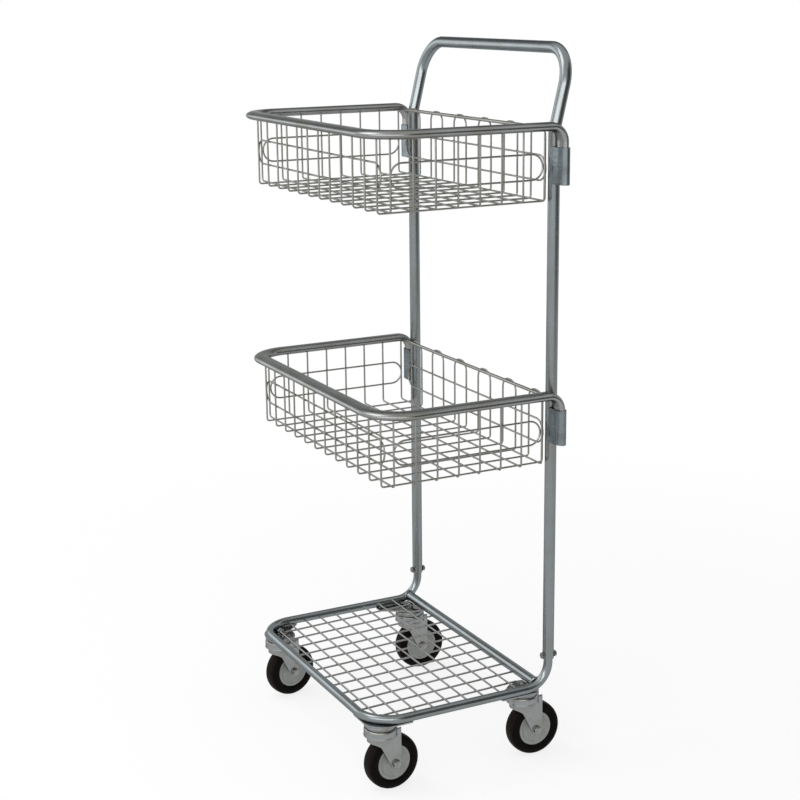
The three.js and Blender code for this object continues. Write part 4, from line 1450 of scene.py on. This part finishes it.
    def axle_disc(self) -> Surface:
        """Returns the washer between the fork and the axle bolt's head."""
        return washer(7.9, self.cheek - GAP, self.cheek + self.axle_washer, 0.3, GAP)

    def axle_bolt(self) -> Surface:
        """Returns the axle bolt: washer, chamfered head, shank and thread."""
        seat = self.cheek
        face = seat + self.axle_washer
        top = face + self.axle_head
        head = hexagon(self.nut_flats, face, top)
        dome = revolved([[5.9, top - 0.3], [5.2, top + 0.1], [CORE, top + 0.2]], 40)
        shank = revolved([[CORE, face], [self.stem, face], [self.stem, -seat], [CORE, -seat]], 24)
        end = thread(self.stem, 0.0, 8.5).placed(UPSIDE_DOWN, (0, 0, -seat))
        return self.axle(joined([self.axle_disc(), head, dome, shank, end]))

    def axle_nut(self) -> Surface:
        """Returns the axle nut with its washer."""
        face = -self.cheek - self.axle_washer
        disc = self.axle_disc().placed(UPSIDE_DOWN, (0, 0, 0))
        return self.axle(joined([disc, hexagon(self.nut_flats, face - self.axle_nut_height, face, True)]))

    def wheel(self) -> Surface:
        """Returns the moulded centre: a hub with a raised boss, a dished web and a stepped outer lip."""
        near = [[4.3, 15.2], [8.6, 15.2], [10.2, 14.4], [10.6, 12.4], [12.5, 11.2], [21.0, 10.6],
                [25.5, 10.8], [26.6, 11.9], [30.2, 12.1], [31.8, 11.5], [32.3, 10.2]]
        half = rounded(near, [0.4, 0.8, 0.7, 0.8, 1.5, 1.6, 0.6, 0.8, 0.7], 3)
        return self.axle(revolved(half + [[r, -z] for r, z in reversed(half)], 96, True))

    def tyre(self) -> Surface:
        """Returns the tyre: bulged side walls with a fine rib, a shoulder line and a crowned tread."""
        near = [[32.6, 12.6], [34.4, 13.7], [36.4, 14.5], [40.0, 15.0], [43.0, 14.7], [44.8, 13.9],
                [45.3, 13.2], [46.4, 12.9], [48.2, 11.2], [49.4, 8.0], [49.85, 4.0], [50.0, 0.0]]
        half = rounded(near, [0.8, 0.9, 1.4, 1.2, 0.5, 0.3, 0.4, 1.0, 1.4, 1.5], 3)
        return self.axle(revolved(half + [[r, -z] for r, z in reversed(half[:-1])], 120, True))

    def build(self, dresser: Dresser) -> None:
        """Builds and dresses the castor.

        Args:
            dresser: gives each surface its object, body and finish.
        """
        cos, sin = np.cos(np.radians(self.turn)), np.sin(np.radians(self.turn))
        swing = np.array([[cos, -sin, 0], [sin, cos, 0], [0, 0, 1]])
        chassis = Body.CHASSIS.value
        swivel, roller = f"castor_{self.name}_swivel", f"castor_{self.name}_roller"
        parts = [
            ("ball_race", self.head(), Finish.SHEET, chassis, "head"),
            ("top_nut", self.stem_nut(), Finish.BOLT, chassis, "stem_nut"),
            ("pressed_fork", self.fork(), Finish.SHEET, swivel, "fork"),
            ("axle_screw", self.axle_bolt(), Finish.BOLT, swivel, "axle_bolt"),
            ("axle_end_nut", self.axle_nut(), Finish.BOLT, swivel, "axle_nut"),
            ("wheel_centre", self.wheel(), Finish.WHEEL, roller, "wheel"),
            ("rubber_tyre", self.tyre(), Finish.TYRE, roller, "tyre"),
        ]
        for part, surface, finish, body, node in parts:
            turn = np.eye(3) if part == "top_nut" else swing
            placed = surface.placed(turn, (self.x, self.y, 0))
            dresser.dress(f"{self.name}_{part}", placed, finish, body, f"castor_{self.name}_{node}")


# Studio


@dataclass
class Studio:
    """The pale floor, the soft lamps, the grey cards, the white surroundings and the camera, in metres."""

    eye: tuple[float, float, float] = (2.51811, -1.28415, 1.34548)
    yaw: float = -63.087
    pitch: float = 14.245
    roll: float = -0.661
    lens: float = 72.783
    surround: float = 0.62  # how bright the surroundings light the trolley, where 1 is white
    floor_reach: float = 14.0

    def backdrop(self, name: str, corners: Sequence[Vector],
                 material: bpy.types.Material) -> bpy.types.Object:
        """Makes a flat face that is no part of the trolley.

        Args:
            name: its name.
            corners: its four corners.
            material: its material.

        Returns:
            The face's object.
        """
        mesh = bpy.data.meshes.new(name)
        mesh.from_pydata(corners, [], [(0, 1, 2, 3)])
        mesh.materials.append(material)
        face = linked(name, mesh)
        return face

    def floor(self) -> None:
        """Makes a large pale floor that fades into the white surroundings away from the trolley."""
        material = bpy.data.materials.new("pale_studio_floor")
        tree = emptied(material)
        place = add(tree, "ShaderNodeTexCoord", out="Object")
        far = add(tree, "ShaderNodeVectorMath", [place], "Value", operation="LENGTH")
        fade = add(tree, "ShaderNodeMapRange", [far, 0.4, 2.2, 0.78, 1.0], **SMOOTH)
        matt = add(tree, "ShaderNodeBsdfDiffuse", {"Color": linear("#fbfbfb")})
        bright = add(tree, "ShaderNodeEmission", {"Color": (1, 1, 1, 1), "Strength": 1.0})
        add(tree, "ShaderNodeOutputMaterial", [add(tree, "ShaderNodeMixShader", [fade, matt, bright])])
        s = self.floor_reach
        self.backdrop("floor", [(-s, -s, 0), (s, -s, 0), (s, s, 0), (-s, s, 0)], material)

    def surroundings(self) -> None:
        """Makes white for the camera and reflections, and a plain level for the light on the trolley."""
        world = bpy.data.worlds.new("studio")
        tree = emptied(world)
        path = add(tree, "ShaderNodeLightPath").node.outputs
        seen = path["Is Camera Ray"]
        for ray in ("Is Glossy Ray", "Is Transmission Ray"):
            seen = add(tree, "ShaderNodeMath", [seen, path[ray]], operation="MAXIMUM")
        levels = [add(tree, "ShaderNodeBackground", [(1, 1, 1, 1), level]) for level in (self.surround, 1.0)]
        add(tree, "ShaderNodeOutputWorld", [add(tree, "ShaderNodeMixShader", [seen, *levels])])
        bpy.context.scene.world = world

    def facing(self, place: Vector, target: Vector) -> tuple[Array, Array, Array]:
        """Works out how something stands that faces a target.

        Args:
            place: where it is.
            target: what it faces.

        Returns:
            The directions across it, up it and back from it.
        """
        back = unit(np.subtract(place, target))
        across = unit(np.cross((0, 0, 1), back))
        return across, np.cross(back, across), back

    def stood(self, item: bpy.types.Object, place: Vector, axes: Sequence[Array]) -> None:
        """Puts a lamp or the camera at a place, with its X, Y and Z along three directions."""
        item.matrix_world = Matrix.Translation(place) @ Matrix(np.stack(axes, 1).tolist()).to_4x4()

    def lamp(self, name: str, place: Vector, target: Vector, size: Vector, watts: float) -> None:
        """Adds a rectangular soft lamp.

        Args:
            name: its name.
            place: where it stands.
            target: what it points at.
            size: its width and height.
            watts: its power.
        """
        light = bpy.data.lights.new(name, "AREA")
        light.shape = "RECTANGLE"
        light.size, light.size_y = size
        light.energy = watts
        self.stood(linked(name, light), place, self.facing(place, target))

    def card(self, name: str, place: Vector, target: Vector, size: Vector, colour: str) -> None:
        """Adds a grey card out of the picture, which only the metal's reflections see, as photographers do.

        Args:
            name: its name.
            place: its middle.
            target: what it faces.
            size: its width and height.
            colour: its colour.
        """
        across, up, _ = self.facing(place, target)
        right, top = across * size[0] / 2, up * size[1] / 2
        signs = ((-1, -1), (1, -1), (1, 1), (-1, 1))
        corners = [tuple(map(float, place + right * x + top * y)) for x, y in signs]
        material = bpy.data.materials.new("grey_studio_card")
        tree = emptied(material)
        add(tree, "ShaderNodeOutputMaterial", [add(tree, "ShaderNodeBsdfDiffuse", {"Color": linear(colour)})])
        card = self.backdrop(name, corners, material)
        card.visible_camera = card.visible_diffuse = card.visible_shadow = False

    def camera(self) -> None:
        """Adds the camera that was fitted to the photograph; its axes are right, up and back."""
        yaw, pitch, roll = np.radians([self.yaw, self.pitch, self.roll])
        look = np.array([np.sin(yaw) * np.cos(pitch), np.cos(yaw) * np.cos(pitch), -np.sin(pitch)])
        right = np.array([np.cos(yaw), -np.sin(yaw), 0.0])
        up = np.cross(right, look)
        axes = (np.cos(roll) * right + np.sin(roll) * up, -np.sin(roll) * right + np.cos(roll) * up, -look)
        data = bpy.data.cameras.new("photograph")
        data.lens, data.sensor_width, data.sensor_fit = self.lens, 36.0, "HORIZONTAL"
        bpy.context.scene.camera = linked("photograph", data)
        self.stood(bpy.context.scene.camera, self.eye, axes)

    def build(self) -> None:
        """Sets up the studio."""
        bpy.context.scene.view_settings.view_transform = "Standard"
        self.floor()
        self.surroundings()
        self.lamp("softbox_by_the_camera", (2.7, -2.9, 1.95), (0, 0, 1.0), (6.6, 1.2), 84)
        self.lamp("softbox_above", (-0.6, -1.6, 3.0), (0, 0, 0.6), (1.6, 1.6), 26)
        self.lamp("softbox_on_the_left", (-2.9, -1.5, 1.35), (0, 0, 1.0), (2.2, 1.6), 15)
        self.card("card_on_the_right", (2.9, 2.3, 2.1), (0, 0, 1.3), (5.0, 4.4), "#6a6a6a")
        self.card("card_behind", (-2.7, 1.4, 3.3), (0, 0, 0.9), (6.0, 1.7), "#858585")
        self.camera()
        log.info("studio ready")


def main() -> None:
    """Builds every sub-assembly and the studio."""
    logging.basicConfig(level=logging.INFO, format="%(name)s: %(message)s")
    dresser = Dresser()
    pieces = [
        PushFrame(),
        BaseFrame(),
        Basket(Body.LOWER_BASKET, 678.5),
        Basket(Body.UPPER_BASKET, 1128.0, socket_below=9.3),
        Castor("front_left", 220.0, -319.0, 4.0),
        Castor("front_right", -220.0, -319.0, 10.0),
        Castor("rear_left", 220.0, -34.0, -1.5),
        Castor("rear_right", -220.0, -34.0, -2.0),
    ]
    for piece in pieces:
        piece.build(dresser)
    Studio().build()


if __name__ == "__main__":
    main()
